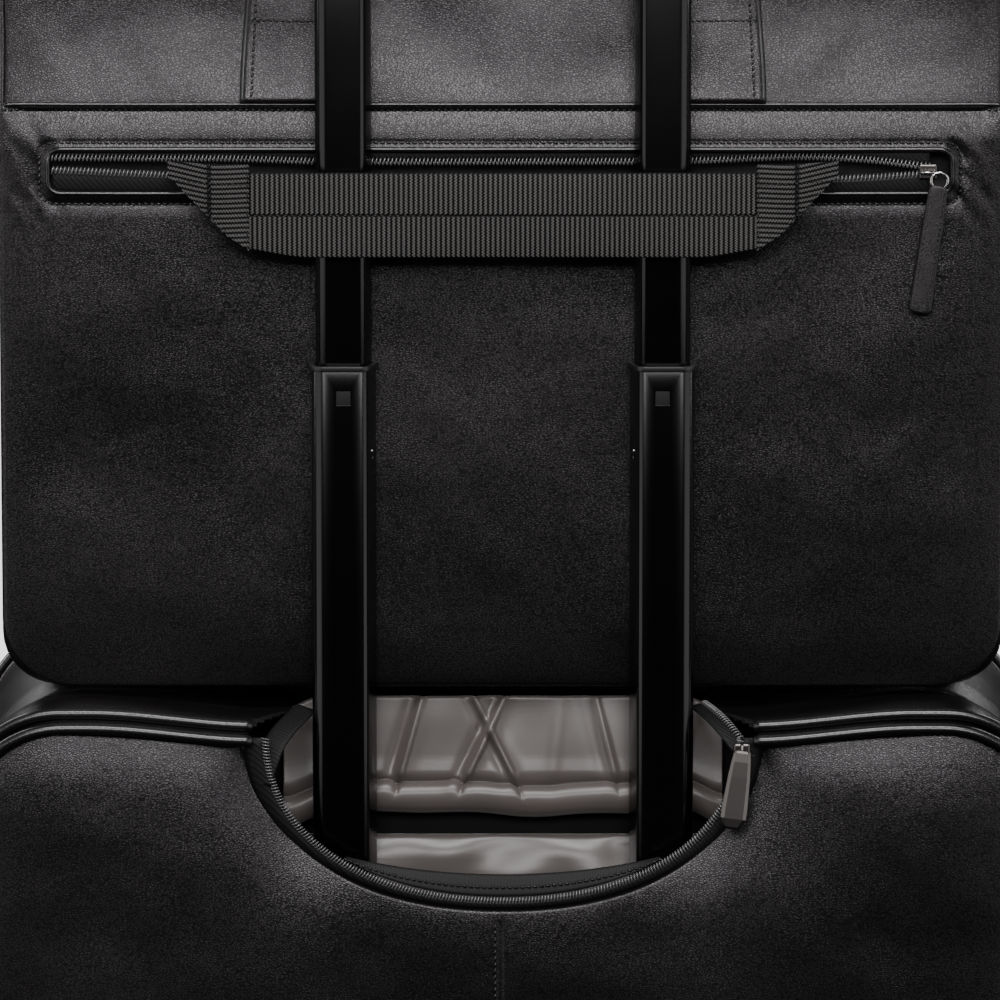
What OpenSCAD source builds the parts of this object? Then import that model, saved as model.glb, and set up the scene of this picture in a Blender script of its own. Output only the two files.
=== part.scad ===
// Rolling laptop case: a wheeled trolley case with a three-stage telescopic
// handle, and a laptop briefcase that rides on that handle by a webbing strap.
// X runs across the case, Y from the handle side (-Y) to the front (+Y), Z up
// from the floor. All sizes are in millimetres.

/* [Trolley case] */
// Width of the trolley case
case_w = 444; // [430:2:460]
// Height of the floor gap under the trolley case
base_z = 22; // [20:1:26]
// Height of the handle-side top edge above the floor
rim_z = 402; // [398:1:402]
// Height of the top gusset above the floor
crown_z = 411; // [408:1:412]
// Radius of the trolley case's corners, seen from the handle side
case_r = 43; // [36:1:50]
// Thickness of the leather-covered walls
wall = 3; // [2:0.5:4]

/* [Handle well] */
// Half width of the U-shaped cut in the handle-side panel
well_half = 104; // [98:1:108]
// Depth of the U-shaped cut below the top edge
well_depth = 73; // [68:1:76]

/* [Telescopic handle] */
// Distance from the middle of the case to each tube
tube_x = 64.6; // [60:0.2:68]
// Top of the first moving tube, pulled out
stage_1_top = 547.5; // [530:0.5:548]
// Top of the second moving tube, pulled out
stage_2_top = 778; // [765:1:778]
// Underside of the grip, pulled out
grip_z = 980; // [960:1:980]

/* [Laptop case] */
// Width of the laptop case
lap_w = 410; // [390:2:420]
// Height of the laptop case
lap_h = 315; // [300:1:320]
// Depth of the laptop case
lap_d = 99; // [90:1:105]
// Height of the webbing sleeve strap
strap_h = 35; // [30:1:38]

/* [Wheels] */
// Radius of each wheel
wheel_r = 27.5; // [26:0.5:28]
// Width of each tyre
tyre_w = 18; // [16:1:18]

/* [Hidden] */
$fn = 48;

cut = 1;                        // how far a cutting solid runs past a face
half_w = case_w / 2;
zip_end_z = 60;                 // the main zip stops here, above the bottom
rear_y = -100;                  // outer face of the handle-side panel
panel_t = 4;
front_y = 100;                  // outer face of the front panel
piping_r = 2.5;
step_y = -92;                   // the gusset steps up to its full height here
zip_y = -33;                    // plane where the main zip parts
tape_w = 6;                     // visible width of one zip tape
gap = 0.3;                      // clearance between parts that separate
slider_z = [202.5, 216];        // undersides of the main zip's two sliders
pull_y = [-38, -32.5];          // where each slider's pull hangs

tube_y = -82;                   // middle of the handle tubes
stage_1 = [26, 18];             // outer width and depth of each tube
stage_2 = [22.6, 14.6];
stage_3 = [19.2, 11.2];
socket = [29.2, 21.2];
tube_t = 1;                     // tube wall
side_slant = 13;                // slant of each tube's inner side, degrees
socket_top = 318;
socket_bottom = 30;
collar_t = 2;                   // thickness of a collar's lip

lap_z = 414;                    // underside of the laptop case
lap_y = -70.5;                  // its back panel's outer face
lap_top = lap_z + lap_h;
lap_half = lap_w / 2;
lap_front = lap_y + lap_d;
lap_t = 2.5;
panel_r = 28;                   // corner radius of its panels
wall_r = 21;                    // corner radius of its side wall
pocket_y = lap_y + 8;           // lining behind the back pocket
seam_z = lap_z + 240;           // seam between the back panel and the yoke
hinge_z = lap_z + 116;          // the front bends open above this line
lap_zip_y = -20;                // plane of the laptop case's zip
slot_z = [618.5, 635];          // bottom and top of the back pocket's opening
slot_x = [-184, 182];
strap_z = 611.5;                // middle of the sleeve strap
strap_y = -94;                  // the strap's inner face
wing_x = [101, 134];            // from and to, where the strap turns inwards

wheel_x = 197;
wheel_y = -84;
house_x = [178, 220];
house_y = [-104, -48];
house_top = 76;

// A 2D shape in X and Z, drawn out along Y from y0 to y1.
module along_y(y0, y1) {
    translate([0, y1, 0]) rotate([90, 0, 0]) linear_extrude(y1 - y0) children();
}

// A rectangle with round corners.
module round_rect(x0, x1, z0, z1, r) {
    translate([x0 + r, z0]) square([x1 - x0 - 2 * r, z1 - z0]);
    translate([x0, z0 + r]) square([x1 - x0, z1 - z0 - 2 * r]);
    for (x = [x0 + r, x1 - r], z = [z0 + r, z1 - r]) translate([x, z]) circle(r);
}

module round_plate(x, y, z, r) {
    along_y(y[0], y[1]) round_rect(x[0], x[1], z[0], z[1], r);
}

// A wall of thickness t that follows a rectangle with round corners.
module ring(half, y, z, r, t) {
    along_y(y[0], y[1]) difference() {
        round_rect(-half, half, z[0], z[1], r);
        round_rect(t - half, half - t, z[0] + t, z[1] - t, r - t);
    }
}

module box(x, y, z) {
    translate([x[0], y[0], z[0]]) cube([x[1] - x[0], y[1] - y[0], z[1] - z[0]]);
}

module both_sides() {
    children();
    mirror([1, 0, 0]) children();
}

// The U-shaped outline of the handle well: a squarish half ellipse.
function flat_power(v) = sign(v) * pow(abs(v), 2 / 2.15);
function u_points(a, d) = [
    for (i = [0:40])
        let (t = 180 + 180 * i / 40)
            [a * flat_power(cos(t)), rim_z + d * flat_power(sin(t))]
];
module u_area(a, d) {
    polygon(concat([[-a, rim_z + 30]], u_points(a, d), [[a, rim_z + 30]]));
}
module u_band(a, d, inset) {
    intersection() {
        difference() {
            u_area(a, d);
            u_area(a - inset, d - inset);
        }
        translate([-a, rim_z - d - 1]) square([2 * a, d - 3]);
    }
}

// Everything that the wheel housings need to be clear of at the corners.
module housing_room() {
    both_sides()
        box([house_x[0] - gap, half_w + 9], [rear_y - 9, house_y[1] + gap],
            [0, house_top + gap]);
}

// Cross-section of a handle tube on the left: its inner side slants, and grow
// moves its whole outline in or out.
function arc(c, r, a0, a1) = [
    for (i = [0:8]) let (a = a0 + (a1 - a0) * i / 8)
        [c[0] + r * cos(a), c[1] + r * sin(a)]
];
function slant_x(back, back_r, front_z, front_r) =
    (cos(side_slant) * back[0] - sin(side_slant) * back[1] + back_r - front_r
        + sin(side_slant) * front_z) / cos(side_slant);
module tube_section(size, grow = 0) {
    outer_r = 5.4;
    inner_r = 3.4;
    back = [size[0] / 2 - inner_r, size[1] / 2 - inner_r];
    front_z = -size[1] / 2 + inner_r;
    front = [slant_x(back, inner_r, front_z, inner_r), front_z];
    polygon(concat(
        arc([outer_r - size[0] / 2, outer_r - size[1] / 2], outer_r + grow, 180, 270),
        arc(front, inner_r + grow, 270, 360 - side_slant),
        arc(back, inner_r + grow, 360 - side_slant, 450),
        arc([inner_r - size[0] / 2, back[1]], inner_r + grow, 90, 180)
    ));
}
module tube(size, z0, z1) {
    translate([-tube_x, tube_y, z0]) linear_extrude(z1 - z0) difference() {
        tube_section(size);
        tube_section(size, -tube_t);
    }
}
// A plastic bush: a lip on top of the outer tube and a thin skirt inside it.
module collar(outer, inner, z, skirt) {
    translate([-tube_x, tube_y, z]) linear_extrude(collar_t) difference() {
        tube_section(outer, 1);
        tube_section(inner, 0.25);
    }
    translate([-tube_x, tube_y, z - skirt]) linear_extrude(skirt) difference() {
        tube_section(outer, -tube_t);
        tube_section(inner, 0.25);
    }
}

// A cord of radius pr along a rectangle with round corners, in a plane of Y.
module piping(half, z, r, y, pr) {
    for (s = [-1, 1]) {
        translate([s * half, y, z[0] + r]) cylinder(z[1] - z[0] - 2 * r, pr, pr);
        translate([r - half, y, s < 0 ? z[0] : z[1]])
            rotate([0, 90, 0]) cylinder(2 * (half - r), pr, pr);
    }
    for (c = [[1, 1, 0], [-1, 1, 90], [-1, -1, 180], [1, -1, 270]])
        translate([c[0] * (half - r), y, c[1] > 0 ? z[1] - r : z[0] + r])
            rotate([90, 0, 0]) rotate([0, 0, c[2]])
                rotate_extrude(angle = 90) translate([r, 0]) circle(pr);
}
module case_piping(z1, y) {
    difference() {
        piping(half_w - 1, [base_z + 1, z1], case_r - 1, y, piping_r);
        box([-well_half, well_half], [y - 9, y + 9], [rim_z - 30, rim_z + 30]);
        box([-half_w - 9, half_w + 9], [y - 9, y + 9], [0, house_top + gap]);
    }
}

// ---- Trolley case: the shell that carries the handle and the wheels ----
module rear_panel() color([0.09, 0.085, 0.09]) difference() {
    round_plate([-half_w, half_w], [rear_y, rear_y + panel_t], [base_z, rim_z], case_r);
    along_y(rear_y - cut, rear_y + panel_t + cut) u_area(well_half, well_depth);
    housing_room();
}
module rear_gusset() color([0.1, 0.095, 0.1]) difference() {
    union() {
        ring(half_w, [rear_y + panel_t, step_y + wall], [base_z, rim_z], case_r, wall);
        ring(half_w, [step_y, zip_y - tape_w], [base_z, crown_z], case_r, wall);
        along_y(step_y, step_y + wall) difference() {
            round_rect(-half_w, half_w, base_z, crown_z, case_r);
            round_rect(wall - half_w, half_w - wall, base_z + wall, rim_z - wall, case_r - wall);
        }
        intersection() {
            ring(half_w, [zip_y - tape_w, zip_y - gap], [base_z, crown_z], case_r, wall);
            box([-half_w, half_w], [-50, 0], [0, zip_end_z]);
        }
    }
    box([-102, 102], [rear_y, -60], [rim_z - 10, crown_z + cut]);
    housing_room();
}
module edge_piping() color([0.05, 0.05, 0.055]) {
    case_piping(rim_z, rear_y - piping_r);
    case_piping(rim_z + 4.5, step_y);
}
module back_board() color([0.42, 0.38, 0.36])
    round_plate([-214, 214], [-59.5, -57.5], [80, 402], 36);
module well_lining() color([0.45, 0.4, 0.38])
    round_plate([-112, 112], [-61.5, -59.5], [322, 402], 12);
module handle_flap() color([0.48, 0.43, 0.41])
    round_plate([-96, 96], [-69.5, -61.5], [361, 404], 6);
module flap_zip() color([0.07, 0.07, 0.07]) both_sides()
    translate([91.2, -88, 400]) rotate([0, 42, 0]) cube([21, 14, 1.8], center = true);
module well_zip() color([0.08, 0.08, 0.08]) {
    along_y(-99.4, -98.2) u_band(well_half - 0.2, well_depth - 0.2, 7);
    along_y(-100.8, -97.8) u_band(well_half - 7.2, well_depth - 7.2, 3.2);
}
module well_binding() color([0.16, 0.15, 0.15]) along_y(-95.9, -94.5) difference() {
    u_area(well_half - 10.6, well_depth - 10.6);
    u_area(well_half - 10.6, well_depth - 21);
    translate([-well_half, rim_z - 30]) square([2 * well_half, 70]);
}
module well_slider() color([0.42, 0.41, 0.4]) {
    box([93.5, 100.5], [-104, -101.2], [386, 397]);
    box([95.6, 98.4], [-106.4, -104], [391, 396]);
}
module well_pull() color([0.5, 0.48, 0.46]) translate([97, -107, 393]) rotate([0, 8, 0]) {
    round_plate([-5, 5], [-1.6, 0.4], [-27, 1.5], 3);
}
module main_zip_rear() color([0.06, 0.06, 0.06]) difference() {
    ring(half_w - 1, [zip_y - tape_w, zip_y - gap], [base_z + 1, crown_z - 1], case_r - 1, 1.6);
    box([-half_w, half_w], [-50, 0], [0, zip_end_z]);
}
module main_zip_front() color([0.06, 0.06, 0.06]) difference() {
    ring(half_w - 1, [zip_y + gap, zip_y + tape_w], [base_z + 1, crown_z - 1], case_r - 1, 1.6);
    box([-half_w, half_w], [-50, 0], [0, zip_end_z]);
}
// A zip slider on the right side, and the leather pull hanging beside it.
module main_slider(z, pull_y) {
    box([half_w - 0.8, half_w + 3], [-37.5, -28.5], [z, z + 13]);
    box([half_w + 3, half_w + 4.7], [pull_y + 1, pull_y + 3.5], [z + 3, z + 10]);
}
module main_pull(z, pull_y) {
    box([half_w + 5, half_w + 7], [pull_y, pull_y + 4.5], [z - 34, z + 8]);
}
module main_slider_upper() color([0.4, 0.39, 0.38]) main_slider(slider_z[1], pull_y[0]);
module main_slider_lower() color([0.4, 0.39, 0.38]) main_slider(slider_z[0], pull_y[1]);
module main_pull_upper() color([0.1, 0.1, 0.1]) main_pull(slider_z[1], pull_y[0]);
module main_pull_lower() color([0.1, 0.1, 0.1]) main_pull(slider_z[0], pull_y[1]);

// ---- Trolley case: the front half, which opens on the main zip ----
module front_gusset() color([0.1, 0.095, 0.1]) {
    ring(half_w, [zip_y + tape_w, front_y - panel_t], [base_z, crown_z], case_r, wall);
    intersection() {
        ring(half_w, [zip_y + gap, zip_y + tape_w], [base_z, crown_z], case_r, wall);
        box([-half_w, half_w], [-50, 0], [0, zip_end_z]);
    }
}
module front_panel() color([0.09, 0.085, 0.09])
    round_plate([-half_w, half_w], [front_y - panel_t, front_y], [base_z, crown_z], case_r);
module front_pocket() color([0.1, 0.095, 0.1])
    round_plate([-178, 178], [front_y, 111.5], [64, 312], 26);
module top_handle() color([0.08, 0.075, 0.08]) {
    box([-78, 78], [48, 76], [427, 434]);
    both_sides() box([62, 78], [48, 76], [crown_z, 427]);
    both_sides() box([78, 92], [46, 78], [crown_z, crown_z + 3]);
}
module side_handle() color([0.08, 0.075, 0.08]) {
    box([-half_w - 7, -half_w - 5], [20, 46], [150, 270]);
    for (z = [150, 256]) box([-half_w - 5, -half_w], [20, 46], [z, z + 14]);
}
module front_feet() color([0.05, 0.05, 0.05]) both_sides()
    translate([160, 78, 0]) cylinder(base_z, 12, 14);

// ---- Base and wheels ----
module base_tray() color([0.06, 0.06, 0.06]) {
    box([-177, 177], [-104, zip_y - gap], [base_z - 3, base_z]);
    box([-177, 177], [-104, rear_y - 0.2], [base_z, 50]);
}
module wheel_housings() color([0.06, 0.06, 0.06]) both_sides() difference() {
    round_plate(house_x, house_y, [14, house_top], 9);
    translate([wheel_x - 10.5, wheel_y, wheel_r]) rotate([0, 90, 0]) cylinder(21, 30.5, 30.5);
    box([wheel_x - 10.5, wheel_x + 10.5], [-120, wheel_y + 30.5], [0, wheel_r]);
    translate([house_x[0] - cut, wheel_y, wheel_r]) rotate([0, 90, 0]) cylinder(60, 3, 3);
    translate([216, wheel_y, wheel_r]) rotate([0, 90, 0]) cylinder(9, 5.2, 5.2);
}
module wheel_axles() color([0.7, 0.7, 0.7]) both_sides()
    translate([0, wheel_y, wheel_r]) rotate([0, 90, 0]) {
        translate([0, 0, house_x[0] + 1]) cylinder(216 - house_x[0] - 1, 3, 3);
        translate([0, 0, 216]) cylinder(2.5, 5, 5);
    }
module tyre() color([0.1, 0.1, 0.1]) translate([wheel_x, wheel_y, wheel_r]) rotate([0, 90, 0])
    rotate_extrude() round_rect(18, wheel_r, -tyre_w / 2, tyre_w / 2, 3);
module hub() color([0.25, 0.25, 0.26]) translate([wheel_x, wheel_y, wheel_r]) rotate([0, 90, 0])
    difference() {
        union() {
            cylinder(tyre_w, 6.5, 6.5, center = true);
            cylinder(5, 16, 16, center = true);
            difference() {
                cylinder(15, 17.99, 17.99, center = true);
                cylinder(15 + cut, 14.5, 14.5, center = true);
            }
        }
        cylinder(tyre_w + cut, 3.06, 3.06, center = true);
    }

// ---- Telescopic handle ----
module socket_tubes() color([0.35, 0.35, 0.36]) both_sides()
    tube(socket, socket_bottom, socket_top);
module socket_collars() color([0.08, 0.08, 0.08]) both_sides()
    collar(socket, stage_1, socket_top, 12);
module socket_base() color([0.08, 0.08, 0.08])
    round_plate([-86, 86], [-95, -69], [base_z + wall, socket_bottom], 2);
module stage_1_tubes() color([0.03, 0.03, 0.03]) both_sides() difference() {
    tube(stage_1, 257, stage_1_top);
    box([-tube_x - 2.9, -tube_x + 2.9], [tube_y - 12, tube_y - 6],
        [stage_1_top - 13.9, stage_1_top - 8.1]);
}
module stage_1_collars() color([0.05, 0.05, 0.05]) both_sides() {
    collar(stage_1, stage_2, stage_1_top, 20);
    box([-tube_x - 2.8, -tube_x + 2.8], [tube_y - 8.8, tube_y - 7.8],
        [stage_1_top - 13.8, stage_1_top - 8.2]);
}
module stage_2_tubes() color([0.03, 0.03, 0.03]) both_sides() tube(stage_2, 502, stage_2_top);
module stage_2_collars() color([0.05, 0.05, 0.05]) both_sides()
    collar(stage_2, stage_3, stage_2_top, 16);
module stage_3_tubes() color([0.03, 0.03, 0.03]) both_sides() tube(stage_3, 733, grip_z + 6);
module grip_body() color([0.05, 0.05, 0.05]) difference() {
    round_plate([-82, 82], [-93, -75], [grip_z, grip_z + 34], 12);
    both_sides() translate([-tube_x, tube_y, grip_z - cut]) linear_extrude(cut + 6)
        tube_section(stage_3);
    box([-70, 70], [-87, -78], [grip_z + 6, grip_z + 26]);
    box([-15.3, 15.3], [-88.8, -79.2], [grip_z + 20, grip_z + 40]);
}
module release_button() color([0.3, 0.3, 0.31])
    box([-15, 15], [-88.5, -79.5], [grip_z + 27, grip_z + 38]);
module release_rods() color([0.6, 0.6, 0.6]) {
    box([-12, 12], [-86, -80], [grip_z + 18, grip_z + 27]);
    box([-69, 69], [-86, -80], [grip_z + 12, grip_z + 18]);
    both_sides() translate([-tube_x, tube_y - 0.5, 745]) cylinder(grip_z + 12 - 745, 2.2, 2.2);
}

// ---- Laptop case ----
module laptop_outline(y, z_low, z_high) {
    intersection() {
        round_plate([-lap_half, lap_half], y, [lap_z, lap_top], panel_r);
        box([-lap_half - cut, lap_half + cut], [y[0] - cut, y[1] + cut], [z_low, z_high]);
    }
}
module laptop_wall(y, z_low, z_high, inset = 0, t = lap_t) {
    intersection() {
        ring(lap_half - inset, y, [lap_z + inset, lap_top - inset], wall_r - inset, t);
        box([-lap_half - cut, lap_half + cut], [y[0] - cut, y[1] + cut], [z_low, z_high]);
    }
}
module laptop_rear_panel() color([0.09, 0.085, 0.09]) difference() {
    laptop_outline([lap_y, lap_y + 2], lap_z, seam_z);
    along_y(lap_y - cut, lap_y + 3) round_rect(slot_x[0], slot_x[1], slot_z[0], slot_z[1], 5);
}
module laptop_yoke() color([0.12, 0.115, 0.12]) {
    laptop_outline([lap_y - 1, lap_y + 2], seam_z, lap_top);
    both_sides() box([61, 105], [lap_y - 2.4, lap_y - 1], [seam_z + 0.5, lap_top - 2]);
}
module laptop_gusset() color([0.1, 0.095, 0.1]) {
    laptop_wall([lap_y + 2, lap_zip_y - 5], lap_z, lap_top);
    laptop_wall([lap_zip_y - 5, lap_front - 3], lap_z, hinge_z);
}
module pocket_lining() color([0.42, 0.38, 0.36])
    round_plate([lap_t - lap_half, lap_half - lap_t], [pocket_y, pocket_y + 1],
        [lap_z + lap_t, lap_top - lap_t], wall_r - lap_t);
module laptop_mouth_gusset() color([0.1, 0.095, 0.1])
    laptop_wall([lap_zip_y + 5, lap_front - 3], hinge_z + gap, lap_top);
module laptop_front_lower() color([0.09, 0.085, 0.09])
    laptop_outline([lap_front - 3, lap_front], lap_z, hinge_z);
module laptop_front_upper() color([0.12, 0.115, 0.12]) {
    laptop_outline([lap_front - 3, lap_front], hinge_z + gap, lap_top);
    both_sides() box([61, 105], [lap_front, lap_front + 1.4], [seam_z, lap_top - 2]);
}
module laptop_front_pocket() color([0.1, 0.095, 0.1])
    round_plate([-182, 182], [lap_front, lap_front + 7], [lap_z + 14, hinge_z - 4], 14);
// One carry handle: two flat straps that rise to a rolled grip.
module carry_handle(y) {
    both_sides() box([65, 101], [y - 2, y + 2], [lap_top + 2, lap_top + 44]);
    both_sides() translate([62, y, lap_top + 44]) rotate([90, 0, 0]) rotate_extrude(angle = 90)
        translate([21, 0]) circle(6);
    translate([-62, y, lap_top + 65]) rotate([0, 90, 0]) cylinder(124, 6, 6);
}
module laptop_handle_rear() color([0.08, 0.075, 0.08]) carry_handle(-64);
module laptop_handle_front() color([0.08, 0.075, 0.08]) carry_handle(22);
module laptop_divider() color([0.3, 0.28, 0.27])
    round_plate([-190, 190], [-44, -38], [lap_z + lap_t, lap_z + 226], 12);
module laptop_zip_rear() color([0.06, 0.06, 0.06])
    laptop_wall([lap_zip_y - 5, lap_zip_y - gap], hinge_z + gap, lap_top, 0.8, 1.6);
module laptop_zip_front() color([0.06, 0.06, 0.06])
    laptop_wall([lap_zip_y + gap, lap_zip_y + 5], hinge_z + gap, lap_top, 0.8, 1.6);
module laptop_slider(x) {
    box([x, x + 12], [lap_zip_y - 4, lap_zip_y + 4], [lap_top - 0.6, lap_top + 3]);
    box([x + 3, x + 9], [lap_zip_y - 2, lap_zip_y + 2], [lap_top + 3, lap_top + 5]);
}
module laptop_slider_left() color([0.4, 0.39, 0.38]) laptop_slider(-13);
module laptop_slider_right() color([0.4, 0.39, 0.38]) laptop_slider(1);

// ---- Sleeve strap and back pocket ----
module sleeve_strap() color([0.14, 0.135, 0.13]) {
    box([-wing_x[1], wing_x[1]], [strap_y - 1.5, strap_y],
        [strap_z - strap_h / 2, strap_z + strap_h / 2]);
    both_sides() box(wing_x, [strap_y, pocket_y], [624, 625.6]);
}
module pocket_zip() color([0.07, 0.07, 0.07]) for (z = [[618.7, 622.6], [629.8, 634.8]])
    box([slot_x[0] + 5, slot_x[1] - 5], [lap_y + 0.4, lap_y + 1.6], z);
module pocket_slider() color([0.42, 0.41, 0.4]) {
    box([168, 177], [lap_y - 3, lap_y - 0.2], [621.5, 632]);
    box([174, 179], [lap_y - 5, lap_y - 3], [624.5, 628.5]);
}
module pocket_pull() color([0.11, 0.105, 0.105])
    translate([177, lap_y - 7, 626]) rotate([0, 8, 0])
        round_plate([-5.4, 5.4], [-1.4, 1.4], [-57, 0], 4);

rear_panel();
rear_gusset();
edge_piping();
back_board();
well_lining();
handle_flap();
flap_zip();
well_zip();
well_binding();
well_slider();
well_pull();
main_zip_rear();
main_zip_front();
main_slider_upper();
main_pull_upper();
main_slider_lower();
main_pull_lower();
front_gusset();
front_panel();
front_pocket();
top_handle();
side_handle();
base_tray();
wheel_housings();
wheel_axles();
mirror([1, 0, 0]) tyre();  // tyre_left
mirror([1, 0, 0]) hub();  // hub_left
tyre();  // tyre_right
hub();  // hub_right
front_feet();
socket_tubes();
socket_collars();
socket_base();
stage_1_tubes();
stage_1_collars();
stage_2_tubes();
stage_2_collars();
stage_3_tubes();
grip_body();
release_button();
release_rods();
laptop_rear_panel();
laptop_yoke();
laptop_gusset();
pocket_lining();
laptop_mouth_gusset();
laptop_front_lower();
laptop_front_upper();
laptop_front_pocket();
laptop_handle_rear();
laptop_handle_front();
laptop_divider();
laptop_zip_rear();
laptop_zip_front();
laptop_slider_left();
laptop_slider_right();
sleeve_strap();
pocket_zip();
pocket_slider();
pocket_pull();
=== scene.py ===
"""The looks of the rolling laptop case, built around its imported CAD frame.

Lengths are in millimetres in the row frame until add_piece turns them into metres:
+X across the case, -Y the handle side that the camera sees, +Z up.
"""

import math

import bmesh
import bpy
import numpy as np
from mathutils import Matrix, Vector, kdtree, noise
from mathutils.geometry import delaunay_2d_cdt


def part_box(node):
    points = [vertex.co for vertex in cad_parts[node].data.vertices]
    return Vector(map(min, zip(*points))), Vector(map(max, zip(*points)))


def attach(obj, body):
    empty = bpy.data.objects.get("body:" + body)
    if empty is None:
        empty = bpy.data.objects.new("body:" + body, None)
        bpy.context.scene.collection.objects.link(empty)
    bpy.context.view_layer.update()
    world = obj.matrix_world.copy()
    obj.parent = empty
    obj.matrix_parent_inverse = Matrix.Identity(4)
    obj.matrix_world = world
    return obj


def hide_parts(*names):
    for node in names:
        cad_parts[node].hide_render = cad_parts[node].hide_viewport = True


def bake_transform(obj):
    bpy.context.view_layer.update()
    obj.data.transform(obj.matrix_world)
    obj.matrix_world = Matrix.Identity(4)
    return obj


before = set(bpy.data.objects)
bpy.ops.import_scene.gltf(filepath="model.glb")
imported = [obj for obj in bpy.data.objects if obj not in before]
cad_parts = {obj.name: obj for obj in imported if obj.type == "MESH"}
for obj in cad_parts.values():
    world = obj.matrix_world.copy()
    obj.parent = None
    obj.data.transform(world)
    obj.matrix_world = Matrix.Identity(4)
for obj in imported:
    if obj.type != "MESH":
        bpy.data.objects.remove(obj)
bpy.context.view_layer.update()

MM = 0.001
REAR = np.array([0.0, -1.0, 0.0])       # towards the camera
FRONT = np.array([0.0, 1.0, 0.0])
UP = np.array([0.0, 0.0, 1.0])
SIDES = (("left", -1), ("right", 1))


def cad(node):
    """Lowest and highest corner of a CAD node, in millimetres."""
    low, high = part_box(node)
    return np.array(low) / MM, np.array(high) / MM


# ---------------------------------------------------------------- camera and light
CAMERA_ELEVATION = math.radians(9)
CAMERA_DISTANCE = 3.5
LENS = 310                               # millimetres, on a 36 mm wide sensor
AIM = Vector((-0.0012, -0.082, 0.4935))  # the point in the middle of the picture


def make_camera():
    data = bpy.data.cameras.new("camera")
    data.lens = LENS
    data.sensor_width = 36
    data.clip_end = 50
    camera = bpy.data.objects.new("camera", data)
    bpy.context.scene.collection.objects.link(camera)
    back = Vector((0, -math.cos(CAMERA_ELEVATION), math.sin(CAMERA_ELEVATION)))
    camera.location = AIM + back * CAMERA_DISTANCE
    camera.rotation_euler = (-back).to_track_quat("-Z", "Y").to_euler()
    bpy.context.scene.camera = camera


def soft_box(name, place, aim, size, power):
    """A rectangular studio light, in metres and watts, that the camera doesn't see."""
    data = bpy.data.lights.new(name, "AREA")
    data.shape = "RECTANGLE"
    data.size, data.size_y = size
    data.energy = power
    light = bpy.data.objects.new(name, data)
    light.visible_camera = False
    bpy.context.scene.collection.objects.link(light)
    light.location = place
    light.rotation_euler = (Vector(aim) - Vector(place)).to_track_quat("-Z", "Y").to_euler()


def make_lights():
    soft_box("rear_low", (0, -2.4, 1.5), (0, -0.08, 0.6), (1.7, 0.6), 42)
    soft_box("rear_top", (0, -1.3, 2.3), (0, -0.08, 0.5), (1.4, 0.6), 46)
    soft_box("front_top", (0, 2.4, 2.0), (0, 0.1, 0.4), (1.7, 0.8), 60)
    for name, side in SIDES:
        soft_box(f"rear_{name}", (side * 1.75, -1.2, 0.7), (0, -0.08, 0.55), (1.8, 1.8), 14)
        soft_box(f"side_{name}", (side * 2.0, 0.5, 1.3), (0, 0, 0.4), (1.2, 1.2), 26)
    soft_box("backdrop", (0, 3.6, 2.6), (0, 3.6, 0), (6, 3), 150)
    world = bpy.data.worlds.new("world")
    bpy.context.scene.world = world
    world.use_nodes = True
    tree = world.node_tree
    seen = tree.nodes["Background"]
    seen.inputs["Color"].default_value = (0.93, 0.93, 0.93, 1)
    felt = tree.nodes.new("ShaderNodeBackground")
    felt.inputs["Color"].default_value = (0.012, 0.012, 0.013, 1)
    path = tree.nodes.new("ShaderNodeLightPath")
    mix = tree.nodes.new("ShaderNodeMixShader")
    tree.links.new(path.outputs["Is Camera Ray"], mix.inputs[0])
    tree.links.new(felt.outputs[0], mix.inputs[1])
    tree.links.new(seen.outputs[0], mix.inputs[2])
    tree.links.new(mix.outputs[0], tree.nodes["World Output"].inputs[0])


# ---------------------------------------------------------------- materials
def shader(name, colour, roughness, metallic=0.0):
    mat = bpy.data.materials.new(name)
    mat.use_nodes = True
    bsdf = mat.node_tree.nodes["Principled BSDF"]
    bsdf.inputs["Base Color"].default_value = (*colour, 1)
    bsdf.inputs["Roughness"].default_value = roughness
    bsdf.inputs["Metallic"].default_value = metallic
    return mat, bsdf


def add_node(mat, kind, links=(), values=(), **settings):
    """A shader node with its settings, its fixed inputs and its linked inputs."""
    made = mat.node_tree.nodes.new("ShaderNode" + kind)
    for key, value in settings.items():
        setattr(made, key, value)
    for key, value in dict(values).items():
        made.inputs[key].default_value = value
    for key, socket in dict(links).items():
        mat.node_tree.links.new(socket, made.inputs[key])
    return made


def rest_coordinates(mat):
    return add_node(mat, "TexCoord").outputs["Object"]


def patchy(mat, bsdf, colour, spread, roughness, change):
    """Slow changes of colour and of gloss, as on a real hide or cloth."""
    where = rest_coordinates(mat)
    cloud = add_node(mat, "TexNoise", {"Vector": where}, {"Scale": 9.0, "Detail": 4.0})
    ramp = add_node(mat, "ValToRGB", {"Fac": cloud.outputs["Fac"]})
    ramp.color_ramp.elements[0].position = 0.3
    ramp.color_ramp.elements[1].position = 0.7
    ramp.color_ramp.elements[0].color = (*[c * (1 - spread) for c in colour], 1)
    ramp.color_ramp.elements[1].color = (*[c * (1 + spread) for c in colour], 1)
    mat.node_tree.links.new(ramp.outputs["Color"], bsdf.inputs["Base Color"])
    gloss = add_node(mat, "MapRange", {"Value": cloud.outputs["Fac"]},
                     {"From Min": 0.3, "From Max": 0.7,
                      "To Min": roughness - change, "To Max": roughness + change})
    mat.node_tree.links.new(gloss.outputs["Result"], bsdf.inputs["Roughness"])


def bumped(mat, bsdf, height, strength, distance):
    """Fine relief from a height; distance is in metres."""
    bump = add_node(mat, "Bump", {"Height": height},
                    {"Strength": strength, "Distance": distance})
    mat.node_tree.links.new(bump.outputs["Normal"], bsdf.inputs["Normal"])


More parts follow.
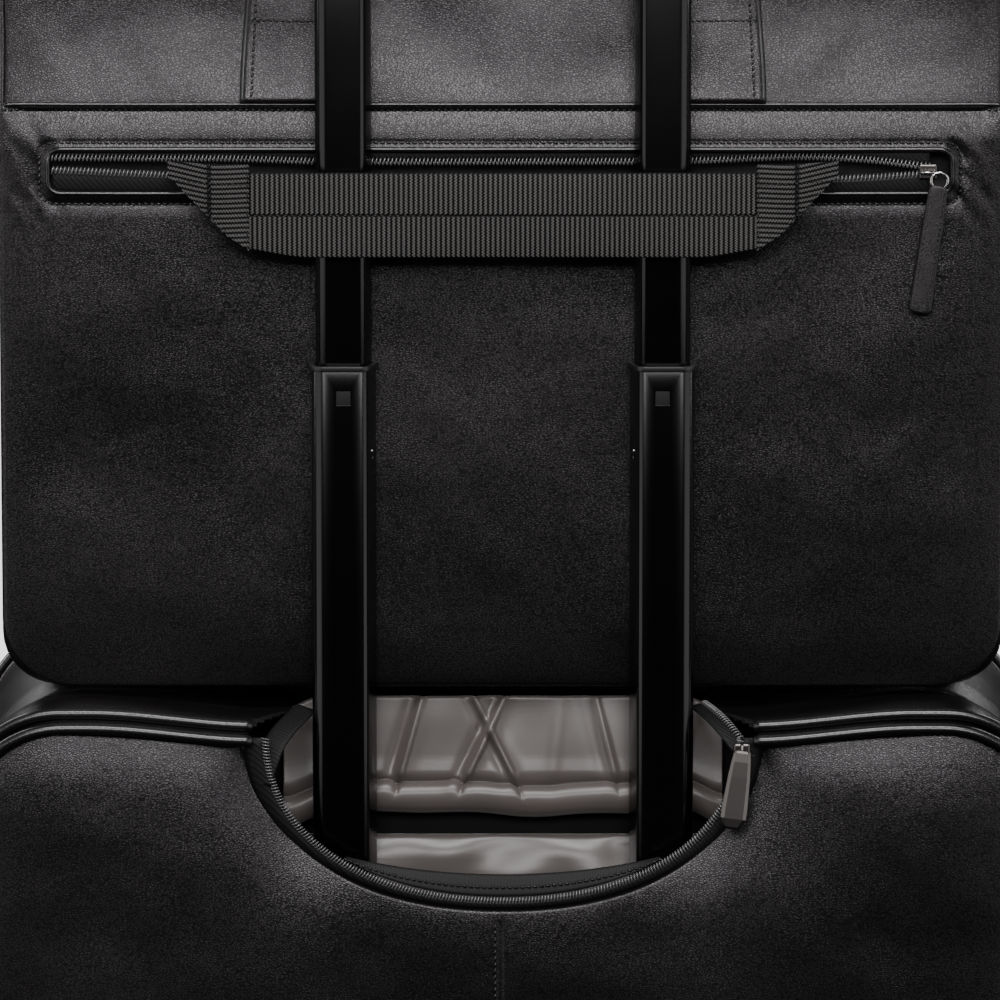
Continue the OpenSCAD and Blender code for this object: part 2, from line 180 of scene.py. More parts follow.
def leather(name, colour, roughness, cell, strength, coat=0.0):
    """Grained leather: small pebbles with creases between them, and finer pores."""
    mat, bsdf = shader(name, colour, roughness)
    bsdf.inputs["Specular Tint"].default_value = (1.0, 0.95, 0.985, 1)
    bsdf.inputs["Coat Weight"].default_value = coat
    bsdf.inputs["Coat Roughness"].default_value = 0.2
    patchy(mat, bsdf, colour, 0.25, roughness, 0.04)
    where = rest_coordinates(mat)
    drift = add_node(mat, "TexNoise", {"Vector": where}, {"Scale": 160.0, "Detail": 2.0})
    moved = add_node(mat, "VectorMath", {1: drift.outputs["Color"], 2: where},
                     {0: (0.0016, 0.0016, 0.0016)}, operation="MULTIPLY_ADD")
    # The pebbles are wider than they are tall.
    flat = add_node(mat, "VectorMath", {0: moved.outputs[0]}, {1: (1.0, 1.0, 1.6)},
                    operation="MULTIPLY")
    cells = add_node(mat, "TexVoronoi", {"Vector": flat.outputs[0]},
                     {"Scale": 1000 / cell}, feature="DISTANCE_TO_EDGE")
    crease = add_node(mat, "MapRange", {"Value": cells.outputs["Distance"]},
                      {"From Max": 0.32}, interpolation_type="SMOOTHSTEP")
    shine = add_node(mat, "MapRange", {"Value": crease.outputs["Result"]},
                     {"To Min": 0.25, "To Max": 0.68})
    mat.node_tree.links.new(shine.outputs["Result"], bsdf.inputs["Specular IOR Level"])
    pores = add_node(mat, "TexNoise", {"Vector": where},
                     {"Scale": 2600 / cell, "Detail": 3.0, "Roughness": 0.6})
    height = add_node(mat, "Math", {0: crease.outputs["Result"], 2: pores.outputs["Fac"]},
                      {1: 0.55}, operation="MULTIPLY_ADD")
    bumped(mat, bsdf, height.outputs[0], strength, 0.0003 * cell)
    return mat


WAVE = 314.16       # a wave texture of this scale repeats every millimetre


def woven(name, colour, roughness, thread, strength, sheen=0.0, axes=("X", "Z"), specular=0.5):
    """A plain weave: two crossed sets of threads, thread millimetres apart."""
    mat, bsdf = shader(name, colour, roughness)
    bsdf.inputs["Sheen Weight"].default_value = sheen
    bsdf.inputs["Sheen Roughness"].default_value = 0.4
    bsdf.inputs["Specular IOR Level"].default_value = specular
    patchy(mat, bsdf, colour, 0.12, roughness, 0.05)
    where = rest_coordinates(mat)
    sets = [add_node(mat, "TexWave", {"Vector": where},
                     {"Scale": WAVE / thread, "Distortion": 0.6, "Detail Scale": 3.0},
                     wave_type="BANDS", bands_direction=axis) for axis in axes]
    both = add_node(mat, "Math", {0: sets[0].outputs["Fac"], 1: sets[-1].outputs["Fac"]},
                    operation="MAXIMUM")
    bumped(mat, bsdf, both.outputs[0], strength, 0.0001)
    return mat


def webbing(name, colour, roughness):
    """Ribbed webbing: the mesh has the ribs, and its grooves are darker than its yarns: painted shade,
    taken from the relief the mesh carries.
    """
    mat, bsdf = shader(name, colour, roughness)
    bsdf.inputs["Specular IOR Level"].default_value = 0.12
    relief = add_node(mat, "Attribute", attribute_name="relief")
    yarn = add_node(mat, "TexNoise", {"Vector": rest_coordinates(mat)}, {"Scale": 2200.0, "Detail": 2.0})
    mixed = add_node(mat, "Math", {0: yarn.outputs["Fac"], 2: relief.outputs["Fac"]}, {1: 0.2},
                     operation="MULTIPLY_ADD")
    # Painted shade: where the relief is low, in the grooves, the ramp darkens the colour to a fiftieth
    # of the yarns'.
    ramp = add_node(mat, "ValToRGB", {"Fac": mixed.outputs[0]})
    ramp.color_ramp.elements[0].position = 0.42
    ramp.color_ramp.elements[1].position = 0.95
    ramp.color_ramp.elements[0].color = (*[c * 0.02 for c in colour], 1)
    ramp.color_ramp.elements[1].color = (*colour, 1)
    mat.node_tree.links.new(ramp.outputs["Color"], bsdf.inputs["Base Color"])
    bumped(mat, bsdf, yarn.outputs["Fac"], 0.5, 0.0001)
    return mat


def moulded(name, colour, roughness, metallic=0.0, grain=1400.0, strength=0.12, coat=0.0,
            specular=0.5):
    """Moulded plastic, rubber, lacquer or metal with a very fine surface."""
    mat, bsdf = shader(name, colour, roughness, metallic)
    bsdf.inputs["Coat Weight"].default_value = coat
    bsdf.inputs["Coat Roughness"].default_value = 0.12
    bsdf.inputs["Specular IOR Level"].default_value = specular
    patchy(mat, bsdf, colour, 0.1, roughness, 0.03)
    fine = add_node(mat, "TexNoise", {"Vector": rest_coordinates(mat)},
                    {"Scale": grain, "Detail": 2.0})
    bumped(mat, bsdf, fine.outputs["Fac"], strength, 0.00005)
    return mat


def make_looks():
    """Material and record slot for each kind of surface."""
    return {
        "leather": (leather("leather", (0.0036, 0.0031, 0.0034), 0.305, 1.25, 0.24), "leather"),
        "trim": (leather("trim_leather", (0.0075, 0.0068, 0.0070), 0.36, 0.7, 0.3), "leather_trim"),
        "piping": (leather("piping_leather", (0.004, 0.004, 0.0045), 0.31, 0.9, 0.08, 0.4),
                   "leather_trim"),
        "satin": (woven("satin", (0.072, 0.0605, 0.057), 0.34, 0.5, 0.1, 0.2), "lining"),
        "dark_satin": (woven("pocket_cloth", (0.006, 0.006, 0.006), 0.5, 0.6, 0.3), "lining"),
        "tape": (woven("zip_tape", (0.004, 0.004, 0.004), 0.6, 1.2, 0.9, 0.0, ("DIAGONAL",), 0.2),
                 "zip_tape"),
        "binding": (woven("binding", (0.009, 0.0085, 0.0085), 0.6, 1.1, 0.9, 0.0, ("X",), 0.25),
                    "webbing"),
        "webbing": (webbing("webbing", (0.118, 0.113, 0.11), 0.6), "webbing"),
        "coil": (moulded("coil", (0.085, 0.085, 0.087), 0.2, 0.0, 900.0, 0.05, 1.0), "zip_tape"),
        "thread": (woven("thread", (0.0028, 0.0027, 0.0028), 0.3, 0.3, 0.4), "leather_trim"),
        "gunmetal": (moulded("gunmetal", (0.12, 0.11, 0.106), 0.29, 1.0, 500.0, 0.04), "gunmetal"),
        "silver": (moulded("silver", (0.5, 0.49, 0.48), 0.2, 1.0, 500.0, 0.04), "gunmetal"),
        "steel": (moulded("steel", (0.55, 0.55, 0.55), 0.3, 1.0, 900.0, 0.1), "steel"),
        "lacquer": (moulded("lacquer", (0.0008, 0.0008, 0.0009), 0.2, 0.0, 250.0, 0.01, 0.0, 0.4),
                    "tube_black"),
        "plastic": (moulded("plastic", (0.006, 0.006, 0.0063), 0.36), "plastic"),
        "grip": (moulded("grip", (0.011, 0.011, 0.0115), 0.3), "grip_plastic"),
        "grey": (moulded("grey_plastic", (0.065, 0.065, 0.068), 0.42), "hub_grey"),
        "rubber": (moulded("rubber", (0.018, 0.018, 0.018), 0.68, 0.0, 700.0, 0.4), "tyre_rubber"),
        # The back board is real, but its near-black colour is painted shade: it makes the gap between
        # the flap's hem and the lining read as shadow.
        "board": (woven("board", (0.004, 0.004, 0.004), 0.7, 0.6, 0.4, 0.0, ("X", "Z"), 0.1), "board"),
    }


# ---------------------------------------------------------------- mesh helpers
def add_piece(name, points, faces, look, body, replaces=(), centre=None, inner=None, relief=None):
    """A piece from points in millimetres. Its faces turn away from centre, or outwards.
    relief says how far each point stands out of its weave, from 0 to 1; the webbing material paints
    shade into the grooves from it."""
    mesh = bpy.data.meshes.new(name)
    mesh.from_pydata([tuple(float(c) * MM for c in p) for p in points], [], faces)
    if relief is not None:
        mesh.attributes.new("relief", "FLOAT", "POINT").data.foreach_set("value", relief)
    mesh.materials.append(LOOKS[look][0])
    if inner:
        mesh.materials.append(LOOKS[inner][0])
    work = bmesh.new()
    work.from_mesh(mesh)
    bmesh.ops.recalc_face_normals(work, faces=work.faces)
    if centre is not None:
        middle = Vector(centre) * MM
        out = sum(f.calc_area() * f.normal.dot(f.calc_center_median() - middle)
                  for f in work.faces)
        if out < 0:
            bmesh.ops.reverse_faces(work, faces=work.faces)
    for face in work.faces:
        face.smooth = True
    work.to_mesh(mesh)
    work.free()
    piece = bpy.data.objects.new(name, mesh)
    bpy.context.scene.collection.objects.link(piece)
    if body:
        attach(piece, body)
    if replaces:
        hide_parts(*replaces)
    return piece


def thicken(piece, thickness, offset=-1.0):
    """Gives a sheet its thickness; its second material, if any, goes inside."""
    solid = piece.modifiers.new("thickness", "SOLIDIFY")
    solid.thickness = thickness * MM
    solid.offset = offset
    solid.use_rim = True
    if len(piece.data.materials) > 1:
        solid.material_offset = 1
        solid.material_offset_rim = 0
    return piece


def grid_faces(rows, columns, close_rows=False, close_columns=False, keep=None):
    """The four-sided faces of a grid of points; keep(face) says which of them stay."""
    faces = []
    for i in range(rows if close_rows else rows - 1):
        for j in range(columns if close_columns else columns - 1):
            k, m = (i + 1) % rows, (j + 1) % columns
            face = (i * columns + j, k * columns + j, k * columns + m, i * columns + m)
            if keep is None or keep(face):
                faces.append(face)
    return faces


def end_caps(count, sides):
    """The two faces that close a sweep of count points."""
    return [tuple(range(sides)), tuple(count - sides + k for k in reversed(range(sides)))]


def at(*axes):
    """Points from coordinates, each of which is one number or a row of them."""
    return np.column_stack(np.broadcast_arrays(*axes))


def at_depth(curve, y):
    """A curve of X and Z, placed at a depth."""
    return at(curve[:, 0], y, curve[:, 1])


def even(rows):
    """Rows cut to the length of the shortest."""
    count = min(len(r) for r in rows)
    return [r[:count] for r in rows]


def unit(v):
    """Vectors scaled to length 1."""
    v = np.asarray(v, float)
    return v / np.maximum(np.linalg.norm(v, axis=-1, keepdims=True), 1e-9)


def smooth_step(a, b, x):
    """Goes smoothly from 0 at a to 1 at b."""
    t = np.clip((np.asarray(x, float) - a) / (b - a), 0, 1)
    return t * t * (3 - 2 * t)


def bell(x, width):
    """A hump of height 1 round x = 0."""
    return np.exp(-(np.asarray(x, float) / width) ** 2)


def swell(distance, reach):
    """Rises from 0 at an edge towards 1 in the middle."""
    return 1 - np.exp(-distance / reach)


def resample(points, step, closed=False):
    """The same line with its points about a step apart."""
    p = np.array(points, float)
    if closed:
        p = np.vstack([p, p[:1]])
    s = np.concatenate([[0], np.cumsum(np.linalg.norm(np.diff(p, axis=0), axis=1))])
    count = max(2, int(round(s[-1] / step)))
    t = np.linspace(0, s[-1], count + 1)
    if closed:
        t = t[:-1]
    return np.column_stack([np.interp(t, s, p[:, k]) for k in range(p.shape[1])])


def rounded(corners):
    """A closed outline, counter-clockwise, through corners (x, z, radius)."""
    out = []
    for i, (x, z, r) in enumerate(corners):
        here = Vector((x, z))
        a = (Vector(corners[i - 1][:2]) - here).normalized()
        b = (Vector(corners[(i + 1) % len(corners)][:2]) - here).normalized()
        if r == 0:
            out.append((x, z))
            continue
        half = a.angle(b) / 2
        centre = here + (a + b).normalized() * (r / math.sin(half))
        first = here + a * (r / math.tan(half)) - centre
        last = here + b * (r / math.tan(half)) - centre
        start = math.atan2(first.y, first.x)
        turn = (math.atan2(last.y, last.x) - start + math.pi) % (2 * math.pi) - math.pi
        out += [(centre.x + r * math.cos(start + turn * k / 16),
                 centre.y + r * math.sin(start + turn * k / 16)) for k in range(17)]
    return out


def rectangle(half, low, high, r_low, r_high=None):
    """An upright box's outline, with one radius for its lower and one for its upper corners."""
    r_high = r_low if r_high is None else r_high
    return rounded([(-half, low, r_low), (half, low, r_low),
                    (half, high, r_high), (-half, high, r_high)])


def outward(points):
    """Directions out of a closed outline."""
    t = unit(np.roll(points, -1, 0) - np.roll(points, 1, 0))
    return at(t[:, 1], -t[:, 0])


def nearest(points, targets):
    """Distance from each 2D point to the nearest target point."""
    tree = kdtree.KDTree(len(targets))
    for i, (x, z) in enumerate(targets):
        tree.insert((x, z, 0), i)
    tree.balance()
    return np.array([tree.find((x, z, 0))[2] for x, z in points])


def within(points, outline):
    """Which of the 2D points are inside a closed outline."""
    x, z = points[:, 0], points[:, 1]
    result = np.zeros(len(points), bool)
    for (x0, z0), (x1, z1) in zip(outline, np.roll(outline, -1, 0)):
        if z0 != z1:
            hit = ((z0 > z) != (z1 > z)) & (x < (x1 - x0) * (z - z0) / (z1 - z0) + x0)
            result ^= hit
    return result


def ripple(points, size, amount, seed=0.0):
    """Gentle unevenness, size millimetres from hump to hump."""
    return np.array([amount * noise.noise(Vector((p[0] / size, p[1] / size, seed)))
                     for p in points])


def tube(name, path, radius, look, body, sides=10, closed=False, **more):
    """A round cord along a path."""
    a = np.arange(sides) * 2 * math.pi / sides
    circle = radius * at(np.cos(a), np.sin(a))
    return sweep(name, path, REAR, lambda t: circle, look, body, closed, **more)


def along(path, up, closed=False):
    """Tangent, side and normal directions along a path."""
    p = np.asarray(path, float)
    if closed:
        tangent = unit(np.roll(p, -1, 0) - np.roll(p, 1, 0))
    else:
        tangent = unit(np.gradient(p, axis=0))
    side = unit(np.cross(tangent, np.broadcast_to(up, p.shape)))
    return tangent, side, np.cross(side, tangent)


def sweep(name, path, up, section, look, body, closed=False, **more):
    """A section carried along a path; section(t) gives (side, normal) points."""
    p = np.asarray(path, float)
    _, side, normal = along(p, up, closed)
    points = []
    for i in range(len(p)):
        shape = section(i / max(1, len(p) - 1))
        points += list(p[i] + shape[:, :1] * side[i] + shape[:, 1:] * normal[i])
    sides = len(section(0))
    faces = grid_faces(len(p), sides, closed, True)
    if not closed:
        faces += end_caps(len(points), sides)
    return add_piece(name, points, faces, look, body, **more)


def there_and_back(half):
    """An arch from the points of its left half, the last of which is in the middle."""
    return half + [(-x, y, z) for x, y, z in half[-2::-1]]


def edge_rows(path, up, off, lift):
    """Stitch lines at both sides of a band's middle, lifted off its path."""
    _, across, normal = along(path, up)
    return [(path + across * way * off + normal * lift, up) for way in (-1, 1)]


def soft_path(points):
    """A smooth path near a few chosen points: a uniform quadratic spline through its ends."""
    p = np.array(points, float)
    for _ in range(3):
        cut = np.empty((2 * len(p), p.shape[1]))
        cut[0], cut[-1] = p[0], p[-1]
        cut[1:-1:2] = 0.75 * p[:-1] + 0.25 * p[1:]
        cut[2:-1:2] = 0.25 * p[:-1] + 0.75 * p[1:]
        p = cut
    return p


def oval(width, height, sides=16, power=0.7):
    """A soft-cornered section of that full width and height."""
    a = np.arange(sides) * 2 * math.pi / sides
    c, s = np.cos(a), np.sin(a)
    return at(width / 2 * np.sign(c) * np.abs(c) ** power, height / 2 * np.sign(s) * np.abs(s) ** power)


def pull_section(width, thick, start=0.5):
    """A leather pull's section, which narrows at both its ends."""
    return lambda t: oval(width * min(1, start + 9 * t, 0.4 + 12 * (1 - t)), thick, 16)


def helix(path, up, pitch, width, height):
    """The centreline of a zip's coil along a path, and the way out from its axis."""
    p = resample(path, pitch / 8)
    _, side, normal = along(p, up)
    a = np.arange(len(p)) * math.pi / 4
    ring = width / 2 * np.cos(a)[:, None] * side + height / 2 * np.sin(a)[:, None] * normal
    return p + ring, unit(ring)


def coils(name, paths, up, body, pitch=1.4, width=2.2, height=1.3, wire=0.36, **more):
    """Coil teeth along each path, as one piece."""
    points, faces = [], []
    for path in paths:
        line, out = helix(path, up, pitch, width, height)
        tangent = unit(np.gradient(line, axis=0))
        side = unit(np.cross(tangent, out))
        base = len(points)
        for k in range(5):
            a = k * 2 * math.pi / 5
            points += list(line + wire * (math.cos(a) * out + math.sin(a) * side))
        count = len(line)
        for i in range(count - 1):
            for k in range(5):
                m = (k + 1) % 5
                faces.append((base + k * count + i, base + k * count + i + 1,
                              base + m * count + i + 1, base + m * count + i))
    return add_piece(name, points, faces, "coil", body, **more)


def stitches(name, rows, body, pitch=2.6, length=2.3, thick=1.15, slant=0.3):
    """Thread stitches along rows of (path, normal)."""
    rings = [(-1.0, 0.0, 1), (-0.72, 0.75, 5), (0.0, 1.0, 5), (0.72, 0.75, 5), (1.0, 0.0, 1)]
    shape, first = [], []
    for u, r, sides in rings:
        first.append(len(shape))
        shape += [(u, r * math.cos(2 * math.pi * k / 5), r * math.sin(2 * math.pi * k / 5))
                  for k in range(sides)]
    cells = []
    for k in range(5):
        m = (k + 1) % 5
        cells.append((0, first[1] + m, first[1] + k))
        cells.append((first[3] + k, first[3] + m, first[4]))
        for ring in (1, 2):
            cells.append((first[ring] + k, first[ring] + m,
                          first[ring + 1] + m, first[ring + 1] + k))
    shape = np.array(shape)
    points, faces = [], []
    for path, up in rows:
        p = resample(path, pitch)
        tangent, side, normal = along(p, up)
        lie = tangent * math.cos(slant) + side * math.sin(slant)
        across = np.cross(normal, lie)
        for i in range(len(p)):
            base = len(points)
            points += list(p[i] + shape[:, :1] * lie[i] * length / 2
                           + shape[:, 1:2] * across[i] * thick / 2
                           + shape[:, 2:] * normal[i] * thick / 2)
            faces += [tuple(base + v for v in cell) for cell in cells]
    return add_piece(name, points, faces, "thread", body)


def filling(outline, spacing):
    """Points in offset rows over an outline's box."""
    low, high = outline.min(0), outline.max(0)
    rows = np.arange(low[1], high[1], spacing * 0.87)
    return np.array([(x + (spacing / 2 if i % 2 else 0), z)
                     for i, z in enumerate(rows) for x in np.arange(low[0], high[0], spacing)])


def beside(lines, step):
    """Points on lines and in two rows at each side of them."""
    rows = []
    for line in lines:
        p = resample(line, step)
        t = unit(np.gradient(p, axis=0))
        n = at(t[:, 1], -t[:, 0])
        rows += [p + n * k for k in (-2.2, -1.1, 0.0, 1.1, 2.2)]
    return np.vstack(rows)


def triangulate(points, edges, areas, kind):
    """Points and triangles of a flat area, and where each given point went."""
    made = delaunay_2d_cdt([Vector(p) for p in points], edges, areas, kind, 1e-4)
    place = {source: i for i, group in enumerate(made[3]) for source in group}
    return np.array([tuple(v) for v in made[0]]), [tuple(f) for f in made[2]], place


def rolled(start, out, roll, facing, angles):
    """Rings of points that turn back from an edge on a curve of radius roll."""
    rings = []
    for angle in angles:
        shift = out * np.reshape(roll, (-1, 1)) * math.sin(angle)
        back = roll * (1 - math.cos(angle))
        rings.append(at(start[:, 0] + shift[:, 0], start[:, 1] - facing * back,
                        start[:, 2] + shift[:, 1]))
    return rings


def add_rings(points, faces, ring, places):
    """Joins a ring of point numbers to new rings, one after another, and returns the last."""
    count = len(ring)
    for place in places:
        after = list(range(len(points), len(points) + count))
        points += list(place)
        for i in range(count):
            k = (i + 1) % count
            faces.append((ring[i], ring[k], after[k], after[i]))
        ring = after
    return ring


class Panel:
    """A sheet of leather in the plane of X and Z, lifted towards the viewer by a height."""

    def __init__(self, outline, y, facing, height, roll=5.0, spacing=4.0):
        self.rim = resample(outline, spacing, True)
        self.edge = resample(outline, 0.8, True)
        self.y, self.facing, self.height = y, facing, height
        self.roll, self.spacing = np.broadcast_to(roll, len(self.rim)), spacing

    def lift(self, points):
        """Heights above the base plane at (x, z) points."""
        return self.height(points, nearest(points, self.edge))

    def on(self, points, proud=0.0):
        """The points on the panel's surface, in three dimensions."""
        p = np.asarray(points, float)
        return at_depth(p, self.y + self.facing * (self.lift(p) + proud))

    def build(self, name, look, body, depth=2.0, detail=(), inner=None, **more):
        """Makes the mesh. detail lines get a denser set of points."""
        normals = outward(self.rim)
        core = self.rim - normals * self.roll[:, None]
        close = resample(core, 1.0, True)
        fill = filling(core, self.spacing)
        fill = fill[within(fill, core)]
        fill = fill[nearest(fill, close) > 0.7 * self.spacing]
        if detail:
            extra = beside(detail, 2.0)
            extra = extra[within(extra, core)]
            extra = extra[nearest(extra, close) > 0.8]
            fill = np.vstack([fill[nearest(fill, extra) > 1.8], extra])
        found, faces, place = triangulate(np.vstack([core, fill]), [], [list(range(len(core)))], 1)
        points = list(self.on(found))
        ring = [place[i] for i in range(len(core))]
        start = np.array([points[i] for i in ring])
        rings = rolled(start, normals, self.roll, self.facing, (0.4, 0.8, 1.2, math.pi / 2))
        last = rings[-1].copy()
        last[:, 1] = self.y - self.facing * (self.roll.max() + depth)
        faces.append(tuple(add_rings(points, faces, ring, rings + [last])))
        piece = add_piece(name, points, faces, look, body, inner=inner, **more)
        if inner:
            piece.data.polygons[len(piece.data.polygons) - 1].material_index = 1
        return piece


def padding(rise, reach, hump, amount, seed, edge):
    """A panel's height: it rises from its edge, with waves that start past edge."""
    return lambda p, d: rise * swell(d, reach) + ripple(p, hump, amount, seed) * smooth_step(0, edge, d)


class Slotted(Panel):
    """A panel with one hole in it."""

    def __init__(self, outline, hole, y, height):
        super().__init__(outline, y, -1, height, 2.4, 3.6)
        self.hole = resample(hole, 3.0, True)

    def build(self, name, look, body, detail, **more):
        """Makes the mesh, with a short wall behind its rim and behind its hole."""
        normals = outward(self.rim)
        core = self.rim - normals * self.roll[:, None]
        loops = np.vstack([resample(core, 1.0, True), resample(self.hole, 1.0, True)])

        def usable(points, gap):
            points = points[within(points, core) & ~within(points, self.hole)]
            return points[nearest(points, loops) > gap]

        extra = usable(beside(detail, 1.8), 0.8)
        fill = usable(filling(core, self.spacing), 0.7 * self.spacing)
        fill = fill[nearest(fill, extra) > 1.7]
        outer = list(range(len(core)))
        hole = list(range(len(core), len(core) + len(self.hole)))
        edges = [(a, b) for loop in (outer, hole) for a, b in zip(loop, loop[1:] + loop[:1])]
        found, faces, place = triangulate(np.vstack([core, self.hole, fill, extra]), edges, [], 0)
        middles = np.array([found[list(f)].mean(0) for f in faces])
        good = within(middles, core) & ~within(middles, self.hole)
        faces = [f for f, ok in zip(faces, good) if ok]
        points = list(self.on(found))
        for loop, out, reach in ((outer, normals, self.roll[0]), (hole, -outward(self.hole), 1.2)):
            ring = [place[i] for i in loop]
            start = np.array([points[i] for i in ring])
            rings = rolled(start, out, reach, self.facing, (0.5, 1.0, math.pi / 2))
            add_rings(points, faces, ring, rings + [rings[-1] + (0, 3.2, 0)])
        return add_piece(name, points, faces, look, body, **more)


def soft_edges(piece, width, segments, **settings):
    """Rounds a piece's edges with a bevel of that width, in millimetres."""
    edge = piece.modifiers.new("edges", "BEVEL")
    edge.width = width * MM
    edge.segments = segments
    for key, value in settings.items():
        setattr(edge, key, value)


def block(name, low, high, look, body, bevel, **more):
    """A small block with rounded edges."""
    corners = [(x, y, z) for x in (low[0], high[0]) for y in (low[1], high[1])
               for z in (low[2], high[2])]
    faces = [(0, 1, 3, 2), (4, 6, 7, 5), (0, 4, 5, 1), (2, 3, 7, 6), (0, 2, 6, 4), (1, 5, 7, 3)]
    piece = add_piece(name, corners, faces, look, body, **more)
    soft_edges(piece, bevel, 3, limit_method="ANGLE", harden_normals=True)


def dress(nodes, look, bevel):
    """Gives CAD nodes that stay visible their material, soft edges and smooth shading."""
    for name in nodes:
        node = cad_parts[name]
        node.data.materials.clear()
        node.data.materials.append(LOOKS[look][0])
        if "custom_normal" in node.data.attributes:
            node.data.attributes.remove(node.data.attributes["custom_normal"])
        for face in node.data.polygons:
            face.material_index = 0
            face.use_smooth = True
        weld = node.modifiers.new("weld", "WELD")
        weld.merge_threshold = 0.00001
        if bevel:
            soft_edges(node, bevel, 2, limit_method="ANGLE", angle_limit=math.radians(40))
        split = node.modifiers.new("split", "EDGE_SPLIT")
        split.split_angle = math.radians(38)


LOOKS = make_looks()
make_camera()
make_lights()

# ---------------------------------------------------------------- trolley case shapes
CASE_LOW, CASE_HIGH = cad("rear_panel")
HALF = CASE_HIGH[0]                       # half the trolley case's width
BASE_Z = CASE_LOW[2]
RIM_Z = CASE_HIGH[2]
REAR_Y = CASE_LOW[1]
CROWN_Z = cad("front_gusset")[1][2]
FRONT_Y = cad("front_panel")[1][1]
ZIP_Y = (cad("main_zip_rear")[1][1] + cad("main_zip_front")[0][1]) / 2
HOUSE_X = cad("wheel_housings")[1][0] - 42.5
HOUSE_Z = cad("wheel_housings")[1][2] + 1
HOUSE_Y = cad("wheel_housings")[1][1]
CASE_R = 43
WELL_HALF = 103                           # the leather's edge round the handle well
WELL_TOP = RIM_Z - 3.5
WELL_DEPTH = 71
CASE_MIDDLE = (0, 0, 215)


def well_curve(inset, count=90, low_inset=None):
    """The U of the handle well, from its left end round to its right end.
    low_inset is the inset at the bottom, where the tape is narrower."""
    low_inset = inset if low_inset is None else low_inset
    a = np.linspace(math.pi, 2 * math.pi, count)
    power = 2 / 2.15
    x = (WELL_HALF - inset) * np.sign(np.cos(a)) * np.abs(np.cos(a)) ** power
    z = WELL_TOP - (WELL_DEPTH - low_inset) * np.abs(np.sin(a)) ** power
    return np.column_stack([x, z])


def rim_drop(x):
    """The top edge sags towards the handle well."""
    return 5.0 * (1 - smooth_step(100, 168, np.abs(x)))


# The gusset's outline changes from the rear edge to the main zip: (y, half, top, corner r).
GUSSET = np.array([
    (REAR_Y + 1, HALF - 1.0, RIM_Z - 0.5, 43), (REAR_Y + 4, HALF - 0.5, RIM_Z + 1.0, 44),
    (REAR_Y + 8, HALF, RIM_Z + 3.5, 45), (REAR_Y + 16, HALF + 1.0, RIM_Z + 6.3, 47),
    (REAR_Y + 28, HALF + 1.6, CROWN_Z - 0.6, 50), (REAR_Y + 40, HALF + 1.6, CROWN_Z, 53),
    (REAR_Y + 52, HALF + 0.8, CROWN_Z - 1.0, 56), (ZIP_Y - 6.5, HALF - 0.2, CROWN_Z - 3.0, 59)])


def ring(half, low, high, r_low, r_high, counts=(22, 12, 60, 16, 66)):
    """Points round a case: the same number on each stretch, whatever its size.
    It starts at the middle of the base and runs up the right side."""
    base, low_arc, side, high_arc, top = counts
    right = [(x, low) for x in np.linspace(0, half - r_low, base, endpoint=False)]
    right += [(half - r_low + r_low * math.sin(a), low + r_low - r_low * math.cos(a))
              for a in np.linspace(0, math.pi / 2, low_arc, endpoint=False)]
    right += [(half, z) for z in np.linspace(low + r_low, high - r_high, side, endpoint=False)]
    right += [(half - r_high + r_high * math.cos(a), high - r_high + r_high * math.sin(a))
              for a in np.linspace(0, math.pi / 2, high_arc, endpoint=False)]
    right += [(x, high) for x in np.linspace(half - r_high, 0, top)]
    right = np.array(right)
    left = right[1:-1][::-1] * (-1, 1)
    return np.vstack([right, left])


def case_skin(name, sections, body, cut=None, seed=1.0, drop=False, **more):
    """A gusset lofted through sections (y, half, top, corner radius); cut drops faces."""
    rows = []
    for y in resample(sections[:, :1], 3.5)[:, 0]:
        half, top, r = (np.interp(y, sections[:, 0], sections[:, k]) for k in (1, 2, 3))
        p = ring(half, BASE_Z, top, CASE_R, r)
        n = outward(p)
        p = p + n * ripple(at(p.sum(1), y), 34, 0.5, seed)[:, None]
        if drop:
            share = np.interp(y, [REAR_Y, REAR_Y + 12, REAR_Y + 40, ZIP_Y - 6], [1, 1, 1.3, 0.2])
            p[:, 1] -= np.where(p[:, 1] > top - 30, rim_drop(p[:, 0]) * share, 0)
        rows.append(at_depth(p, y))
    points = np.vstack(rows)
    keep = None if cut is None else lambda f: not cut(points[list(f)])
    faces = grid_faces(len(rows), len(rows[0]), False, True, keep)
    thicken(add_piece(name, points, faces, "leather", body, centre=CASE_MIDDLE, inner="satin",
                      **more), 1.6)


def rear_gusset_cut(corners):
    """True where the rear gusset is open: the wheel housings and the handle well."""
    x, y, z = corners[:, 0], corners[:, 1], corners[:, 2]
    wheel = (np.abs(x) > HOUSE_X).any() and (z < HOUSE_Z - 0.5).any() and (y < HOUSE_Y - 0.5).all()
    side = WELL_HALF - 19 * smooth_step(REAR_Y + 6, -62, y.max())
    well = (np.abs(x) < side).any() and (z > RIM_Z - 12).all() and (y < -61).any()
    return wheel or well


